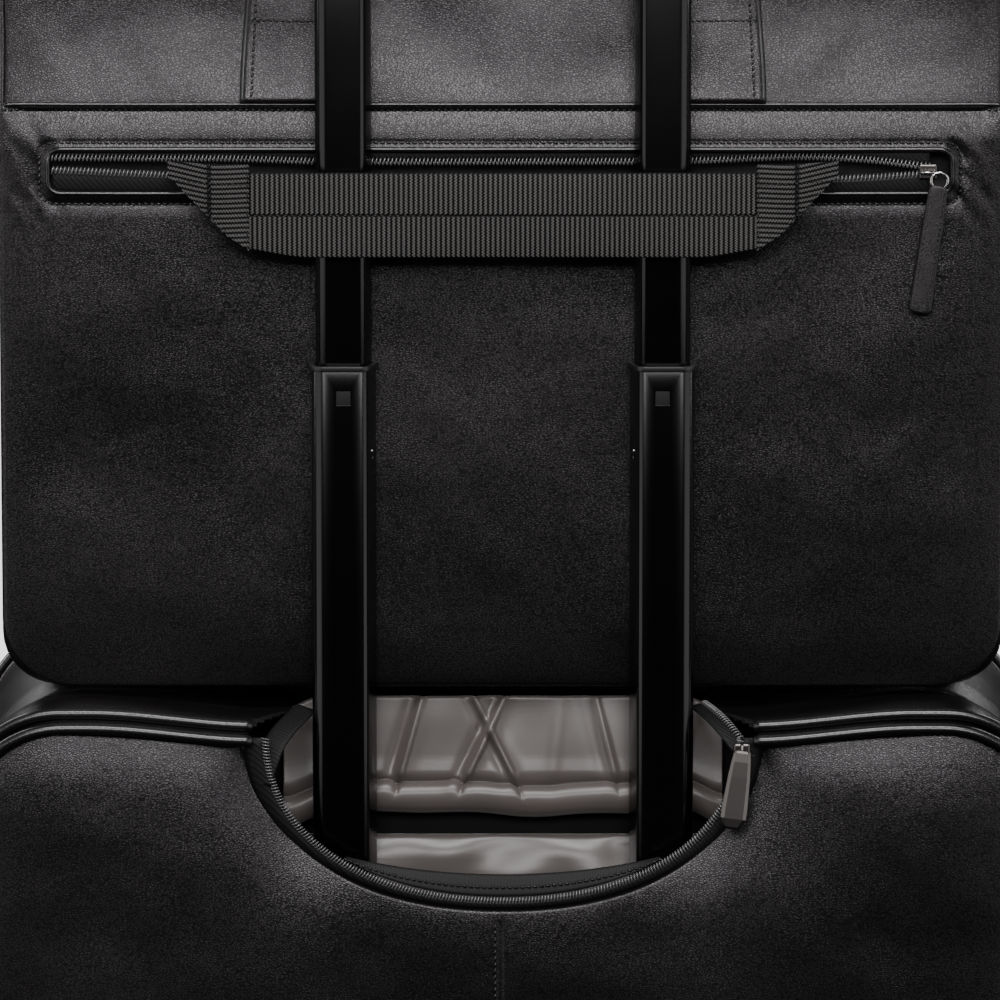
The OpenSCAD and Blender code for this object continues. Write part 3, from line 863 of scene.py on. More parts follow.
def make_rear_shell():
    """The trolley case's leather back panel, its seam and the gusset round it."""
    u = well_curve(0)
    right = [(HOUSE_X - 0.5, BASE_Z, 6), (HOUSE_X - 0.5, HOUSE_Z, 6), (HALF - 0.8, HOUSE_Z, 6),
             (HALF - 0.8, RIM_Z, CASE_R), (WELL_HALF + 1, RIM_Z, 7)]
    left = [(-x, z, r) for x, z, r in right[::-1]]
    well = [(x, z, 0) for x, z in u[::-1][1:-1]]
    outline = np.array(rounded([(0, BASE_Z, 0)] + right + well + left))
    high = outline[:, 1] > RIM_Z - CASE_R - 1
    outline[:, 1] -= np.where(high & (np.abs(outline[:, 0]) > WELL_HALF - 2),
                              rim_drop(outline[:, 0]), 0)
    u_edge = resample(u, 1.0)
    near_u = (np.abs(outline[:, 0]) < WELL_HALF + 0.5) & (outline[:, 1] > RIM_Z - WELL_DEPTH - 9)
    rim_edge = resample(outline[~near_u], 1.0)
    seam = [(-1, WELL_TOP - WELL_DEPTH - 5), (-1, BASE_Z + 6)]
    seam_points = resample(seam, 1.0)

    def height(p, d):
        lip = nearest(p, u_edge)
        share = smooth_step(50, 92, np.abs(p[:, 0]))
        puff = (6.5 * swell(nearest(p, rim_edge), 17)
                - (1.0 + 5.5 * share) * np.exp(-lip / (9 + 8 * share)))
        sew = nearest(p, seam_points)
        pinch = 0.9 * bell(sew, 0.8) + 0.3 * bell(sew, 7)
        waves = ripple(p, 46, 0.9, 3.0) + ripple(p, 17, 0.22, 5.0)
        return puff - pinch + waves * smooth_step(0, 20, d)

    rear = Panel(outline, REAR_Y + 1.5, -1, height, 4.5, 4.0)
    rear.roll = np.where(nearest(rear.rim, u_edge) < 1.5, 1.3, 4.5)
    piece = rear.build("rear_leather", "leather", "trolley_case", 0.5, [seam], "satin",
                       replaces=["rear_panel"])
    thread = rear.on(resample([(-3.2, 321), (-3.2, BASE_Z + 8)], 3), 0.15)
    stitches("rear_seam_thread", [(thread, REAR)], "trolley_case")
    case_skin("rear_gusset_leather", GUSSET, "trolley_case", rear_gusset_cut, 2.0, True,
              replaces=["rear_gusset"])


def case_edge(y, half, top):
    """The right half of a case's edge from above the wheel to the handle well."""
    p = np.array(rounded([(0, BASE_Z, 0), (half, BASE_Z, CASE_R), (half, top, CASE_R), (0, top, 0)]))
    p = resample(p, 1.0)
    p = resample(p[(p[:, 1] > HOUSE_Z) & (p[:, 0] > WELL_HALF - 1.5)], 3.0)
    return at(p[:, 0], y, p[:, 1] - np.where(p[:, 1] > top - CASE_R - 1, rim_drop(p[:, 0]), 0))


def make_piping():
    """Two rows of piping on each side of the trolley case, each with a narrow welt."""
    for name, y, half, top in (("rear", REAR_Y - 0.6, HALF + 0.3, RIM_Z + 0.3),
                               ("gusset", REAR_Y + 7.6, HALF + 1.6, RIM_Z + 5.0)):
        for side, sign in SIDES:
            path = case_edge(y, half, top) * (sign, 1, 1)
            tube(f"piping_{name}_{side}", path, 2.3, "piping", "trolley_case", 12,
                 replaces=["edge_piping"])
            welt = case_edge(y + 3.2, half - 1.2, top - 1.0) * (sign, 1, 1)
            tube(f"welt_{name}_{side}", welt, 1.2, "trim", "trolley_case", 8)


# ---------------------------------------------------------------- handle well
def loft(name, rows, look, body, thickness=0.9, **more):
    """A sheet through rows of points, with its own thickness."""
    points = np.vstack(rows)
    faces = grid_faces(len(rows), len(rows[0]))
    return thicken(add_piece(name, points, faces, look, body, **more), thickness, 0.0)


def make_well():
    """The U of zip tape and coil round the handle well, and the ribbed strip in it."""
    body = "trolley_case"
    tape = [at_depth(well_curve(7.0 * k, 90, 3.4 * k), REAR_Y + y) for k, y in
            ((-0.3, 3.4), (0.0, 1.6), (0.3, 0.5), (0.6, 0.2), (0.95, 0.8))]
    loft("well_tape", tape, "tape", body, replaces=["well_zip"])
    coils("well_coil", [at_depth(well_curve(6.6, 90, 3.6), REAR_Y - 0.2)], REAR, body, 1.3, 2.8, 1.8,
          0.3)
    x = np.linspace(-64, 64, 66)
    u = well_curve(8.4, 400, 4.8)
    order = np.argsort(u[:, 0])
    low = np.interp(x, u[order, 0], u[order, 1])
    high = 341.0 + 7.0 * (x / 64) ** 2
    rows = []
    for t in np.linspace(0, 1, 7):
        z = low + (high - low) * t
        rows.append(at(x, REAR_Y + 2.2 + 2.6 * t ** 1.5, z))
    loft("well_binding_strip", rows, "binding", body, 1.1, replaces=["well_binding"])
    thread = at(x, REAR_Y + 2.0, low + (high - low) * 0.45)
    stitches("binding_thread", [(thread, REAR)], body)


# The folded-down flap: (y, z) from its sewn top over the hem roll and back up behind.
FLAP = [(-61.5, 409), (-62.4, 404), (-64.2, 394), (-66.0, 384), (-67.6, 377.8), (-67.0, 374.8),
        (-65.6, 373.4), (-68.6, 373.0), (-70.9, 370.4), (-71.2, 366.6), (-69.6, 362.4),
        (-66.0, 360.8), (-62.8, 362.6), (-62.0, 367)]
# The lining under it: (y, z) from its turned-in top edge down to the binding.
LINING = [(-60.8, 349), (-61.0, 351.2), (-62.4, 351.0), (-64.2, 348), (-66.2, 343), (-67.8, 337),
          (-68.6, 330), (-68.8, 322)]
# Pleats pinched into the flap: x at the top, x at the hem, height, width.
PLEATS = [(-33, -43, 3.4, 1.2), (1, -16, 3.8, 1.1), (-12, 6, 3.0, 1.0), (38, 47, 1.8, 1.4),
          (-70, -62, 1.6, 2.0), (24, 20, 0.8, 3.0), (80, 70, 1.6, 2.0)]


def make_lining():
    """The two pieces of satin in the handle well: the folded flap and the lining below it."""
    xs = np.linspace(-90, 90, 430)
    rows = []
    for y, z in resample(FLAP, 1.6):
        top = smooth_step(374.5, 378, z)
        fold = np.zeros(len(xs))
        for x_top, x_hem, tall, wide in PLEATS:
            share = (z - 374) / 35
            middle = x_hem + (x_top - x_hem) * share
            strength = tall * (0.35 + 0.65 * bell(share - 0.35, 0.5))
            off = xs - middle
            fold += strength * (0.75 * bell(off, wide) + 0.35 * bell(off, 4 * wide)
                                - 0.5 * bell(off + 3.4 * wide, wide * 2.4))
        hem = 1.3 * np.sin(xs / 17 + 0.6) + 0.8 * np.sin(xs / 7.3)
        soft = ripple(at(xs, z), 26, 1.0, 9.0)
        push = np.clip(fold * top, -1.8, 4.2) + soft * 0.9
        drop = hem * (1 - top) * 0.7 + 0.6 * fold * (1 - top) * bell(z - 372, 6)
        depth = np.maximum(y - push, np.where(np.abs(xs) < 50, -75, -71.2))
        rows.append(at(xs, depth, z - drop - 5.0 * smooth_step(74, 90, np.abs(xs))))
    flap = loft("flap_satin", rows, "satin", "trolley_case", 0.7, replaces=["handle_flap"])
    rows = []
    xs = np.linspace(-110, 110, 110)
    for y, z in resample(LINING, 2.0):
        wave = ripple(at(xs, z), 24, 3.2, 4.0)
        rows.append(at(xs, np.clip(y - wave * smooth_step(352, 344, z), -70.6, -60.8), z))
    lining = loft("lining_satin", rows, "satin", "trolley_case", 0.7, replaces=["well_lining"])


def make_flap_zip():
    """The other half of the well's zip: a strip at each end of the U, beside the flap."""
    right = [(99.0, -99.0, 389.0), (95.5, -98.0, 394.5), (90.5, -93.5, 400.5), (85.0, -86.5, 405.0),
             (79.5, -76.0, 407.5)]
    left = [(97.0, -99.5, 379.0), (96.0, -99.0, 388.0), (93.0, -96.5, 396.0), (87.5, -90.0, 402.0),
            (80.5, -79.0, 407.0)]
    for side, sign, points, wide in (("left", -1, left, 10.0), ("right", 1, right, 7.0)):
        path = resample(soft_path(points), 1.2) * (sign, 1, 1)
        face = (sign * 0.35, -0.85, 0.4)
        sweep(f"flap_tape_{side}", path, face,
              lambda t: oval(wide * (0.7 + 0.3 * min(1, 4 * t)), 1.4, 12), "tape", "trolley_case",
              replaces=["flap_zip"])
        if side == "right":
            _, across, normal = along(path, face)
            coils("flap_coil", [path + across * 2.8 + normal * 1.0], face, "trolley_case", 1.3, 2.8,
                  1.8, 0.3)


def make_well_slider():
    """The handle well's slider, the loop on it and the pull that hangs from the loop."""
    low, high = cad("well_slider")
    middle_x, middle_z = 97, 393.0
    body = "well_slider"
    block("well_slider_body", (low[0], low[1] + 2.2, low[2]), (high[0], high[1] + 0.6, high[2]),
          "gunmetal", body, 1.2, replaces=["well_slider"])
    loop = [(middle_x, -104.0 - 2.0 * math.sin(a), middle_z + 3.6 * math.cos(a))
            for a in np.linspace(0.1, math.pi - 0.1, 12)]
    tube("well_slider_bridge", loop, 0.7, "gunmetal", body, 8)
    # The pull is a chamfered bar: half widths and half thicknesses down its length.
    stations = [(1.6, 2.6, 0.5), (0.6, 3.5, 0.9), (-3, 4.0, 1.1), (-9, 4.6, 1.2), (-22, 5.3, 1.3),
                (-26.0, 5.3, 1.3), (-29.4, 3.2, 1.0), (-30.2, 2.6, 0.5)]
    pivot, tilt = np.array([middle_x, -107.4, middle_z]), math.radians(8)
    points = []
    for z, wide, thick in stations:
        for x, y in ((-1, 0.4), (-0.7, 1), (0.7, 1), (1, 0.4), (1, -0.4), (0.7, -1), (-0.7, -1),
                     (-1, -0.4)):
            x, y = x * wide, y * thick
            points.append(pivot + (x * math.cos(tilt) + z * math.sin(tilt), y + 0.11 * z,
                                   z * math.cos(tilt) - x * math.sin(tilt)))
    faces = grid_faces(len(stations), 8, False, True) + end_caps(len(points), 8)
    pull = add_piece("well_pull_bar", points, faces, "gunmetal", "well_pull",
                     replaces=["well_pull"])
    for face in pull.data.polygons:
        face.use_smooth = False
    soft_edges(pull, 0.3, 2)


# ---------------------------------------------------------------- main zip and front half
ZIP_LOW = 61.0                            # the main zip's ends stand this high


def zip_ring(y, inset):
    """The main zip's line round the case, open along the bottom."""
    half, top, r = HALF - inset, CROWN_Z - 3 - inset, 59 - inset
    p = np.array(rounded([(0, BASE_Z, 0), (half, BASE_Z, 10), (half, top, r), (-half, top, r),
                          (-half, BASE_Z, 10)]))
    p = resample(p, 1.0)
    start = int(np.argmax((p[:, 1] > ZIP_LOW) & (p[:, 0] > 0)))
    p = p[start:]
    return at_depth(p[p[:, 1] > ZIP_LOW], y)


def make_main_zip():
    """The trolley case's zip on both its halves, with two sliders on the right side."""
    for name, body, way, node in (("rear", "trolley_case", -1, "main_zip_rear"),
                                  ("front", "front_half", 1, "main_zip_front")):
        rows = [resample(zip_ring(ZIP_Y + way * y, inset), 4.0) for y, inset in
                ((7.0, 0.6), (4.5, 1.6), (0.6, 2.2))]
        loft(f"main_tape_{name}", even(rows), "tape", body, 0.9, replaces=[node])
        line = resample(zip_ring(ZIP_Y + way * 0.85, 1.1), 4.0)
        coils(f"main_coil_{name}", [line], REAR, body, 1.5, 1.9, 1.9, 0.42)
    for name in ("upper", "lower"):
        low, high = cad(f"main_slider_{name}")
        block(f"main_slider_{name}_body", (HALF - 0.6, ZIP_Y - 4.2, low[2]),
              (HALF + 2.6, ZIP_Y + 4.2, high[2]), "gunmetal", f"{name}_slider", 1.3,
              replaces=[f"main_slider_{name}"])
        low, high = cad(f"main_pull_{name}")
        y = (low[1] + high[1]) / 2
        bridge = [(HALF + 2.0 + 3.2 * math.sin(a), y, high[2] - 1.5 + 3.0 * math.cos(a))
                  for a in np.linspace(0, math.pi, 10)]
        tube(f"main_slider_{name}_bridge", bridge, 0.6, "gunmetal", f"{name}_slider", 8)
        path = np.array([(HALF + 6, y, z) for z in np.linspace(high[2] - 1, low[2], 24)])
        sweep(f"main_pull_{name}_leather", path, (1, 0, 0), pull_section(5.4, 2.0, 0.45), "trim",
              f"{name}_pull", replaces=[f"main_pull_{name}"])
        rows = [(path[2:-2] + (1.05, way * 1.6, 0), (1, 0, 0)) for way in (-1, 1)]
        stitches(f"main_pull_{name}_thread", rows, f"{name}_pull", 2.2, 1.6, 0.45)


FRONT_SECTIONS = np.array([
    (ZIP_Y + 6.5, HALF - 0.2, CROWN_Z - 3.0, 59), (ZIP_Y + 20, HALF + 0.9, CROWN_Z - 0.6, 56),
    (20, HALF + 1.6, CROWN_Z, 52), (60, HALF + 1.4, CROWN_Z, 49), (85, HALF + 0.2, CROWN_Z - 0.8, 46),
    (FRONT_Y - 1, HALF - 1.0, CROWN_Z - 2.0, 43)])


def make_front_half():
    body = "front_half"
    case_skin("front_gusset_leather", FRONT_SECTIONS, body, seed=6.0, replaces=["front_gusset"])
    outline = rectangle(HALF - 1, BASE_Z + 1, CROWN_Z - 1, CASE_R)
    panel = Panel(outline, FRONT_Y - 1.5, 1, padding(4.0, 22, 44, 0.9, 7.0, 20), 4.0, 5.0)
    panel.build("front_leather", "leather", body, 0.5, (), "satin", replaces=["front_panel"])
    edge = resample(rectangle(HALF + 0.2, BASE_Z + 0.2, CROWN_Z - 0.6, CASE_R), 3.0, True)
    tube("piping_front", at_depth(edge, FRONT_Y), 2.3, "piping", body, 12, True)
    make_front_pocket(body)
    make_top_handle(body)
    make_side_handle(body)
    seam = resample(rectangle(HALF - 11, BASE_Z + 11, CROWN_Z - 11, CASE_R - 10), 2.7, True)
    stitches("front_edge_thread", [(panel.on(seam, 0.15), FRONT)], body)


def make_front_pocket(body):
    low, high = cad("front_pocket")
    half, bottom, top = high[0] - 1, low[2] + 1, high[2] - 1

    zip_z = top - 26

    def height(p, d):
        dip = 1.6 * bell(p[:, 1] - zip_z, 2.2)
        return 5.4 * swell(d, 20) - dip + ripple(p, 38, 1.0, 11.0) * smooth_step(0, 16, d)

    outline = rectangle(half, bottom, top, 26)
    zip_line = [(-half + 34, zip_z), (half - 34, zip_z)]
    pocket = Panel(outline, FRONT_Y + 4.0, 1, height, 4.5, 4.5)
    piece = pocket.build("front_pocket_leather", "leather", body, 0.2, [zip_line],
                         replaces=["front_pocket"])
    edge = resample(rectangle(half + 1.2, bottom - 1.2, top + 1.2, 27), 3.0, True)
    tube("piping_pocket", at_depth(edge, FRONT_Y + 1.6), 1.9, "piping", body, 10, True)
    line = pocket.on(resample(zip_line, 2.0), 0.3)
    coils("front_pocket_coil", [line + (0, 0, 1.1), line - (0, 0, 1.1)], FRONT, body)

    def beside_zip(off, proud):
        return pocket.on(resample([(x, z + off) for x, z in zip_line], 2.0), proud)

    for name, off in (("upper", 5.5), ("lower", -5.5)):
        tube(f"front_pocket_lip_{name}", beside_zip(off, 0.2), 0.9, "trim", body, 8)
    rows = [(beside_zip(off, 0.15), FRONT) for off in (8.5, -8.5)]
    rows.append((pocket.on(resample(rectangle(half - 8, bottom + 8, top - 8, 19), 2.7, True), 0.15),
                 FRONT))
    stitches("front_pocket_thread", rows, body)
    x, z = zip_line[1]
    y = pocket.on(np.array([(x, z)]))[0, 1]
    block("front_pocket_slider", (x - 5, y - 0.5, z - 3.6), (x + 5, y + 1.9, z + 3.6), "gunmetal",
          body, 1.1)
    pull = np.array([(x, y + 2.2, q) for q in np.linspace(z + 1, z - 34, 22)])
    sweep("front_pocket_pull", pull, FRONT, pull_section(8.5, 1.8), "trim", body)


def make_top_handle(body):
    low, high = cad("top_handle")
    y, z = (low[1] + high[1]) / 2, CROWN_Z
    arch = [(-90, y, z + 1.6), (-80, y, z + 2.2), (-73, y, z + 6), (-66, y, z + 13),
            (-54, y, z + 18.5), (-30, y, z + 20.2), (0, y, z + 20.6)]
    path = resample(there_and_back(arch), 2.5)

    def section(t):
        middle = bell(t - 0.5, 0.3)
        return oval(28 - 4 * middle, 2.6 + 3.6 * middle, 20, 0.6)

    sweep("top_handle_leather", path, UP, section, "trim", body, replaces=["top_handle"])
    lift = np.array([section(i / (len(path) - 1))[:, 1].max() for i in range(len(path))])
    stitches("top_handle_thread", edge_rows(path, UP, 10, (lift - 0.1)[:, None]), body)
    for side, sign in SIDES:
        for x in (82, 88):
            path = np.array([(sign * x, y, z + 3.0 + 0.9 * k) for k in (0, 0.5, 1)])
            tube(f"top_handle_rivet_{side}_{x}", path, 2.4, "gunmetal", body, 16)


def make_side_handle(body):
    low, high = cad("side_handle")
    y, x = (low[1] + high[1]) / 2, -HALF
    arch = [(x - 1.0, y, low[2] + 1), (x - 1.4, y, low[2] + 12), (x - 4.0, y, low[2] + 22),
            (x - 6.0, y, low[2] + 38), (x - 6.2, y, (low[2] + high[2]) / 2)]
    arch += [(a, b, low[2] + high[2] - c) for a, b, c in arch[-2::-1]]
    path = resample(arch, 2.5)
    out = (-1, 0, 0)
    sweep("side_handle_leather", path, out, lambda t: oval(26, 2.6, 20, 0.6), "trim", body,
          replaces=["side_handle"])
    stitches("side_handle_thread", edge_rows(path, out, 10, 1.25), body)


# ---------------------------------------------------------------- laptop case
LAP_LOW, LAP_HIGH = cad("laptop_gusset")
LAP_HALF = LAP_HIGH[0]
LAP_Z, LAP_TOP = LAP_LOW[2], LAP_HIGH[2]
LAP_Y = cad("laptop_rear_panel")[0][1]
LAP_FRONT = cad("laptop_front_lower")[1][1]
LAP_ZIP = (cad("laptop_zip_rear")[1][1] + cad("laptop_zip_front")[0][1]) / 2
SEAM_Z = cad("laptop_rear_panel")[1][2]
HINGE_Z = cad("laptop_front_lower")[1][2]
SLOT = (-184.5, 182.0, 617.8, 635.8)      # the back pocket's opening: x, x, z, z
LAP_MIDDLE = (0, (LAP_Y + LAP_FRONT) / 2, (LAP_Z + LAP_TOP) / 2)


def box_line(x0, x1, z0, z1, r):
    """A closed outline of a box with round corners."""
    return rounded([(x0, z0, r), (x1, z0, r), (x1, z1, r), (x0, z1, r)])


def laptop_rear_panel():
    """The back panel with the pocket's slot in it, and the lines of its two seams."""
    x0, x1, z0, z1 = SLOT
    slot = np.array(box_line(x0, x1, z0, z1, 5))
    frame_line = resample(box_line(x0 - 3.5, x1 + 3.5, z0 - 4.4, z1 + 2.6, 6), 2.0, True)
    fold = [(-LAP_HALF + 3, SEAM_Z - 2.6), (LAP_HALF - 3, SEAM_Z - 2.6)]
    near_frame, near_fold = resample(frame_line, 1.0, True), resample(fold, 1.0)
    near_slot = resample(slot, 1.0, True)

    def height(p, d):
        x, z = p.T
        side = LAP_HALF - np.abs(x)
        puff = 3.0 * swell(side, 17) + 2.6 * swell(z - LAP_Z, 20)
        sew = 0.8 * bell(nearest(p, near_frame), 1.3) + 0.8 * bell(nearest(p, near_fold), 1.3)
        lip = 0.9 * bell(nearest(p, near_slot), 3.0)
        creases = np.zeros(len(x))
        for k, (cx, cz) in enumerate(((x0 - 8, z1 - 1), (x0 - 8, z0), (x1 + 9, z1), (x1 + 9, z0))):
            away = np.hypot(x - cx, (z - cz) * 1.3)
            creases += 0.8 * bell(away, 13) * np.sin((x - cx) * 0.55 + (z - cz) * 0.45 + k)
        band = -3.2 * smooth_step(z1 + 3, SEAM_Z - 2, z) * smooth_step(0, 12, side)
        waves = ripple(p, 60, 1.0, 21.0) + ripple(p, 19, 0.22, 23.0)
        return puff - sew + lip + creases + band + waves * smooth_step(0, 24, d)

    outline = rectangle(LAP_HALF - 0.3, LAP_Z, SEAM_Z, 28, 1.5)
    return Slotted(outline, slot, LAP_Y + 3.6, height), frame_line, fold


FRONT_LEAN = 0.35                         # the front's lean, as a share of the back's
LEAN = 12.0                               # how far the case's top edge leans back


def yoke_lean(z):
    """How far the top of the laptop case leans back, at a height z."""
    t = np.clip((np.asarray(z, float) - SEAM_Z) / (LAP_TOP - SEAM_Z), 0, 1)
    return LEAN * (1 - np.exp(-1.6 * t)) / (1 - math.exp(-1.6))


def make_yoke(body):
    def height(p, d):
        x, z = p.T
        puff = 2.6 * swell(LAP_HALF - np.abs(x), 16)
        dent = 1.5 * bell(z - (SEAM_Z + 56), 16) * (1 - bell(x, 75))
        waves = ripple(p, 42, 2.2, 31.0) + ripple(p, 15, 0.5, 33.0)
        return puff + dent - yoke_lean(z) + waves * smooth_step(0, 18, d)

    outline = rectangle(LAP_HALF - 1.5, SEAM_Z - 4, LAP_TOP - 0.5, 1.0, 28)
    yoke = Panel(outline, LAP_Y + 3.4, -1, height, 3.0, 3.8)
    yoke.build("laptop_yoke_leather", "leather", body, 10.0, (), "satin",
               replaces=["laptop_yoke"])
    return yoke


TAB_IN = 62.0                             # the handle tabs' inner edges, from the middle


def make_tabs(yoke, body):
    """The handle tabs sewn on the yoke, with their box stitching, and a black cord along each long edge:
    edge paint and painted shadow beside the raised tab.
    """
    for side, sign in SIDES:
        xs = np.linspace(TAB_IN, 105.5, 26) * sign
        rows = []
        for z in np.linspace(SEAM_Z + 0.5, LAP_TOP - 3, 34):
            flare = 1 - 0.04 * smooth_step(SEAM_Z, LAP_TOP, z)
            rows.append(yoke.on(at(xs * flare, z), 1.7))
        # Painted shadow: a black cord along each edge stands in for the shade beside the tab's raised
        # edge, and also reads as edge paint.
        for edge, name in ((0, "inner"), (-1, "outer")):
            tube(f"handle_tab_edge_{name}_{side}", np.array([r[edge] for r in rows]), 1.1, "thread",
                 body, 8)
        loft(f"handle_tab_{side}", rows, "leather", body, 1.8)
        outer = [(sign * 101.8, SEAM_Z + 4), (sign * 98.5, LAP_TOP - 4)]
        cross = [(sign * 102, SEAM_Z + 33.5), (sign * 64, SEAM_Z + 33.0)]
        inner = [(sign * 65.5, SEAM_Z + 4), (sign * 64, LAP_TOP - 4)]
        rows = [(yoke.on(resample(line, 2.0), 2.7), REAR) for line in (outer, cross, inner)]
        stitches(f"handle_tab_thread_{side}", rows, body)


def lap_wall(name, sections, body, seed, keep=None, **more):
    """The laptop case's side wall through sections (y, inset, corner radius). keep says
    which faces stay, from the heights of their corners."""
    sections = np.array(sections)
    rows = []
    for y in resample(sections[:, :1], 3.4)[:, 0]:
        inset, r = (np.interp(y, sections[:, 0], sections[:, k]) for k in (1, 2))
        counts = (20, 8, 58, 8, 62)
        p = ring(LAP_HALF - inset, LAP_Z + inset, LAP_TOP - inset, r, r, counts)
        p = p + outward(p) * ripple(at(p.sum(1), y), 30, 0.5, seed)[:, None]
        rows.append(at_depth(p, y))
    points = np.vstack(rows)
    back = np.clip((LAP_ZIP - points[:, 1]) / (LAP_ZIP - LAP_Y), 0, 1)
    front = np.clip((points[:, 1] - LAP_ZIP) / (LAP_FRONT - LAP_ZIP), 0, 1)
    points[:, 1] += (back - FRONT_LEAN * front) * yoke_lean(points[:, 2])
    kept = None if keep is None else lambda f: keep(points[list(f)][:, 2])
    faces = grid_faces(len(rows), len(rows[0]), False, True, kept)
    thicken(add_piece(name, points, faces, "leather", body, centre=LAP_MIDDLE, inner="satin",
                      **more), 1.4)


def make_laptop_shell():
    body = "laptop_case"
    rear, frame_line, fold = laptop_rear_panel()
    rear.build("laptop_rear_leather", "leather", body, [frame_line, fold],
               replaces=["laptop_rear_panel"])
    yoke = make_yoke(body)
    make_tabs(yoke, body)
    rows = [(rear.on(np.vstack([frame_line, frame_line[:1]]), 0.35), REAR),
            (rear.on(resample(fold, 2.0), 0.35), REAR)]
    stitches("laptop_rear_thread", rows, body)
    lip = rear.on(resample(box_line(*SLOT, 5), 1.5, True), 0.25)
    tube("pocket_lip", lip, 0.95, "piping", body, 8, True)
    edge = rear.on(resample([(-LAP_HALF + 3, SEAM_Z - 0.4), (LAP_HALF - 3, SEAM_Z - 0.4)], 2.0), 0.1)
    tube("yoke_fold", edge, 0.85, "piping", body, 8)
    lap_wall("laptop_gusset_leather",
             [(LAP_Y + 2.5, 1.6, 24), (LAP_Y + 8, 0.2, 22), (-45, -0.8, 21), (LAP_ZIP - 4.5, 0.4, 21)],
             body, 41.0, replaces=["laptop_gusset"])
    lap_wall("laptop_base_leather",
             [(LAP_ZIP - 4.5, 0.4, 21), (5, -0.6, 21), (LAP_FRONT - 2, 1.2, 23)],
             body, 43.0, lambda z: (z < HINGE_Z - 0.5).all())
    lap_wall("laptop_mouth_leather",
             [(LAP_ZIP + 4.5, 0.4, 21), (10, -0.6, 21), (LAP_FRONT - 2, 1.2, 23)],
             "laptop_front", 45.0, lambda z: (z > HINGE_Z + 0.8).all(),
             replaces=["laptop_mouth_gusset"])
    back = resample(rectangle(LAP_HALF - 2, LAP_Z + 2, SEAM_Z + 2, 20, 4), 4.0, True)
    lining = at_depth(back, LAP_Y + 8)
    faces = grid_faces(2, len(back), False, True) + end_caps(2 * len(back), len(back))
    add_piece("pocket_lining_cloth", np.vstack([lining, lining + (0, 1.2, 0)]), faces, "dark_satin",
              body, replaces=["pocket_lining"])
    make_laptop_zip()
    make_laptop_front()


def laptop_zip_line(y, inset):
    """The laptop case's zip, from the hinge up one side and down the other."""
    half, low, top = LAP_HALF - inset, HINGE_Z + 1.2, LAP_TOP - inset
    corners = [(half, low, 0), (half, top, 21), (-half, top, 21), (-half, low, 0)]
    return at_depth(resample(rounded(corners), 4.0), y)


def make_laptop_zip():
    for name, body, way, node in (("rear", "laptop_case", -1, "laptop_zip_rear"),
                                  ("front", "laptop_front", 1, "laptop_zip_front")):
        rows = [laptop_zip_line(LAP_ZIP + way * y, inset) for y, inset in
                ((5.2, 1.0), (3.4, 1.8), (0.6, 2.4))]
        loft(f"laptop_tape_{name}", even(rows), "tape", body, 0.9, replaces=[node])
        coils(f"laptop_coil_{name}", [laptop_zip_line(LAP_ZIP + way * 0.8, 1.3)], REAR, body, 1.5,
              1.8, 1.8, 0.4)
    for name, sign, body in (("left", -1, "zip_left"), ("right", 1, "zip_right")):
        x = sign * 7
        block(f"laptop_slider_{name}_body", (x - 5.5, LAP_ZIP - 3.8, LAP_TOP - 0.6),
              (x + 5.5, LAP_ZIP + 3.8, LAP_TOP + 2.0), "gunmetal", body, 1.2,
              replaces=[f"laptop_slider_{name}"])
        bridge = [(x + 3.4 * math.cos(a), LAP_ZIP, LAP_TOP + 1.6 + 2.4 * math.sin(a))
                  for a in np.linspace(0, math.pi, 10)]
        tube(f"laptop_slider_{name}_bridge", bridge, 0.6, "gunmetal", body, 8)
        path = np.array([(x + sign * q, LAP_ZIP - 0.06 * q, LAP_TOP + 3.4 - 0.02 * q)
                         for q in np.linspace(0, 30, 20)])
        sweep(f"laptop_slider_{name}_pull", path, UP, pull_section(7.5, 1.7), "trim", body)


def make_laptop_front():
    def height(p, d):
        x, z = p.T
        return (2.4 * swell(LAP_HALF - np.abs(x), 16)
                + ripple(p, 48, 1.1, 51.0) * smooth_step(0, 20, d) - FRONT_LEAN * yoke_lean(z))

    def panel(name, body, low, high, r_low, r_high, node):
        outline = rectangle(LAP_HALF - 1.2, low, high, r_low, r_high)
        made = Panel(outline, LAP_FRONT - 2.6, 1, height, 2.6, 4.6)
        made.build(name, "leather", body, 0.4, (), "satin", replaces=[node])
        return made

    upper = panel("laptop_front_leather", "laptop_front", HINGE_Z + 1, LAP_TOP - 1, 1.5, 28,
                  "laptop_front_upper")
    panel("laptop_front_base_leather", "laptop_case", LAP_Z + 1, HINGE_Z - 0.4, 28, 1.5,
          "laptop_front_lower")
    make_front_tabs(upper)
    make_laptop_pocket()


def make_front_tabs(upper):
    """The handle tabs sewn on the front panel, with their stitching."""
    low, high = SEAM_Z - 17, LAP_TOP - 4
    for side, sign in SIDES:
        xs = np.linspace(TAB_IN, 104, 22) * sign
        rows = [upper.on(at(xs, z), 1.4) for z in np.linspace(SEAM_Z - 20, LAP_TOP - 3, 36)]
        loft(f"front_tab_{side}", rows, "leather", "laptop_front", 1.8)
        outer, inner = sign * 101, sign * 65
        lines = [[(outer, low), (outer, high)], [(inner, low), (inner, high)],
                 [(outer, low), (inner, low)]]
        stitches(f"front_tab_thread_{side}",
                 [(upper.on(resample(line, 2.0), 2.4), FRONT) for line in lines], "laptop_front")


def make_laptop_pocket():
    low, high = cad("laptop_front_pocket")
    pocket = Panel(rectangle(high[0] - 1, low[2] + 1, high[2] - 1, 14), LAP_FRONT + 2.2, 1,
                   padding(3.4, 16, 36, 0.8, 57.0, 14), 3.4, 4.2)
    piece = pocket.build("laptop_front_pocket_leather", "leather", "laptop_case", 0.2,
                         replaces=["laptop_front_pocket"])
    seam = resample(rectangle(high[0] - 7, low[2] + 7, high[2] - 7, 9), 2.7, True)
    stitches("laptop_front_pocket_thread", [(pocket.on(seam, 0.15), FRONT)], "laptop_case")


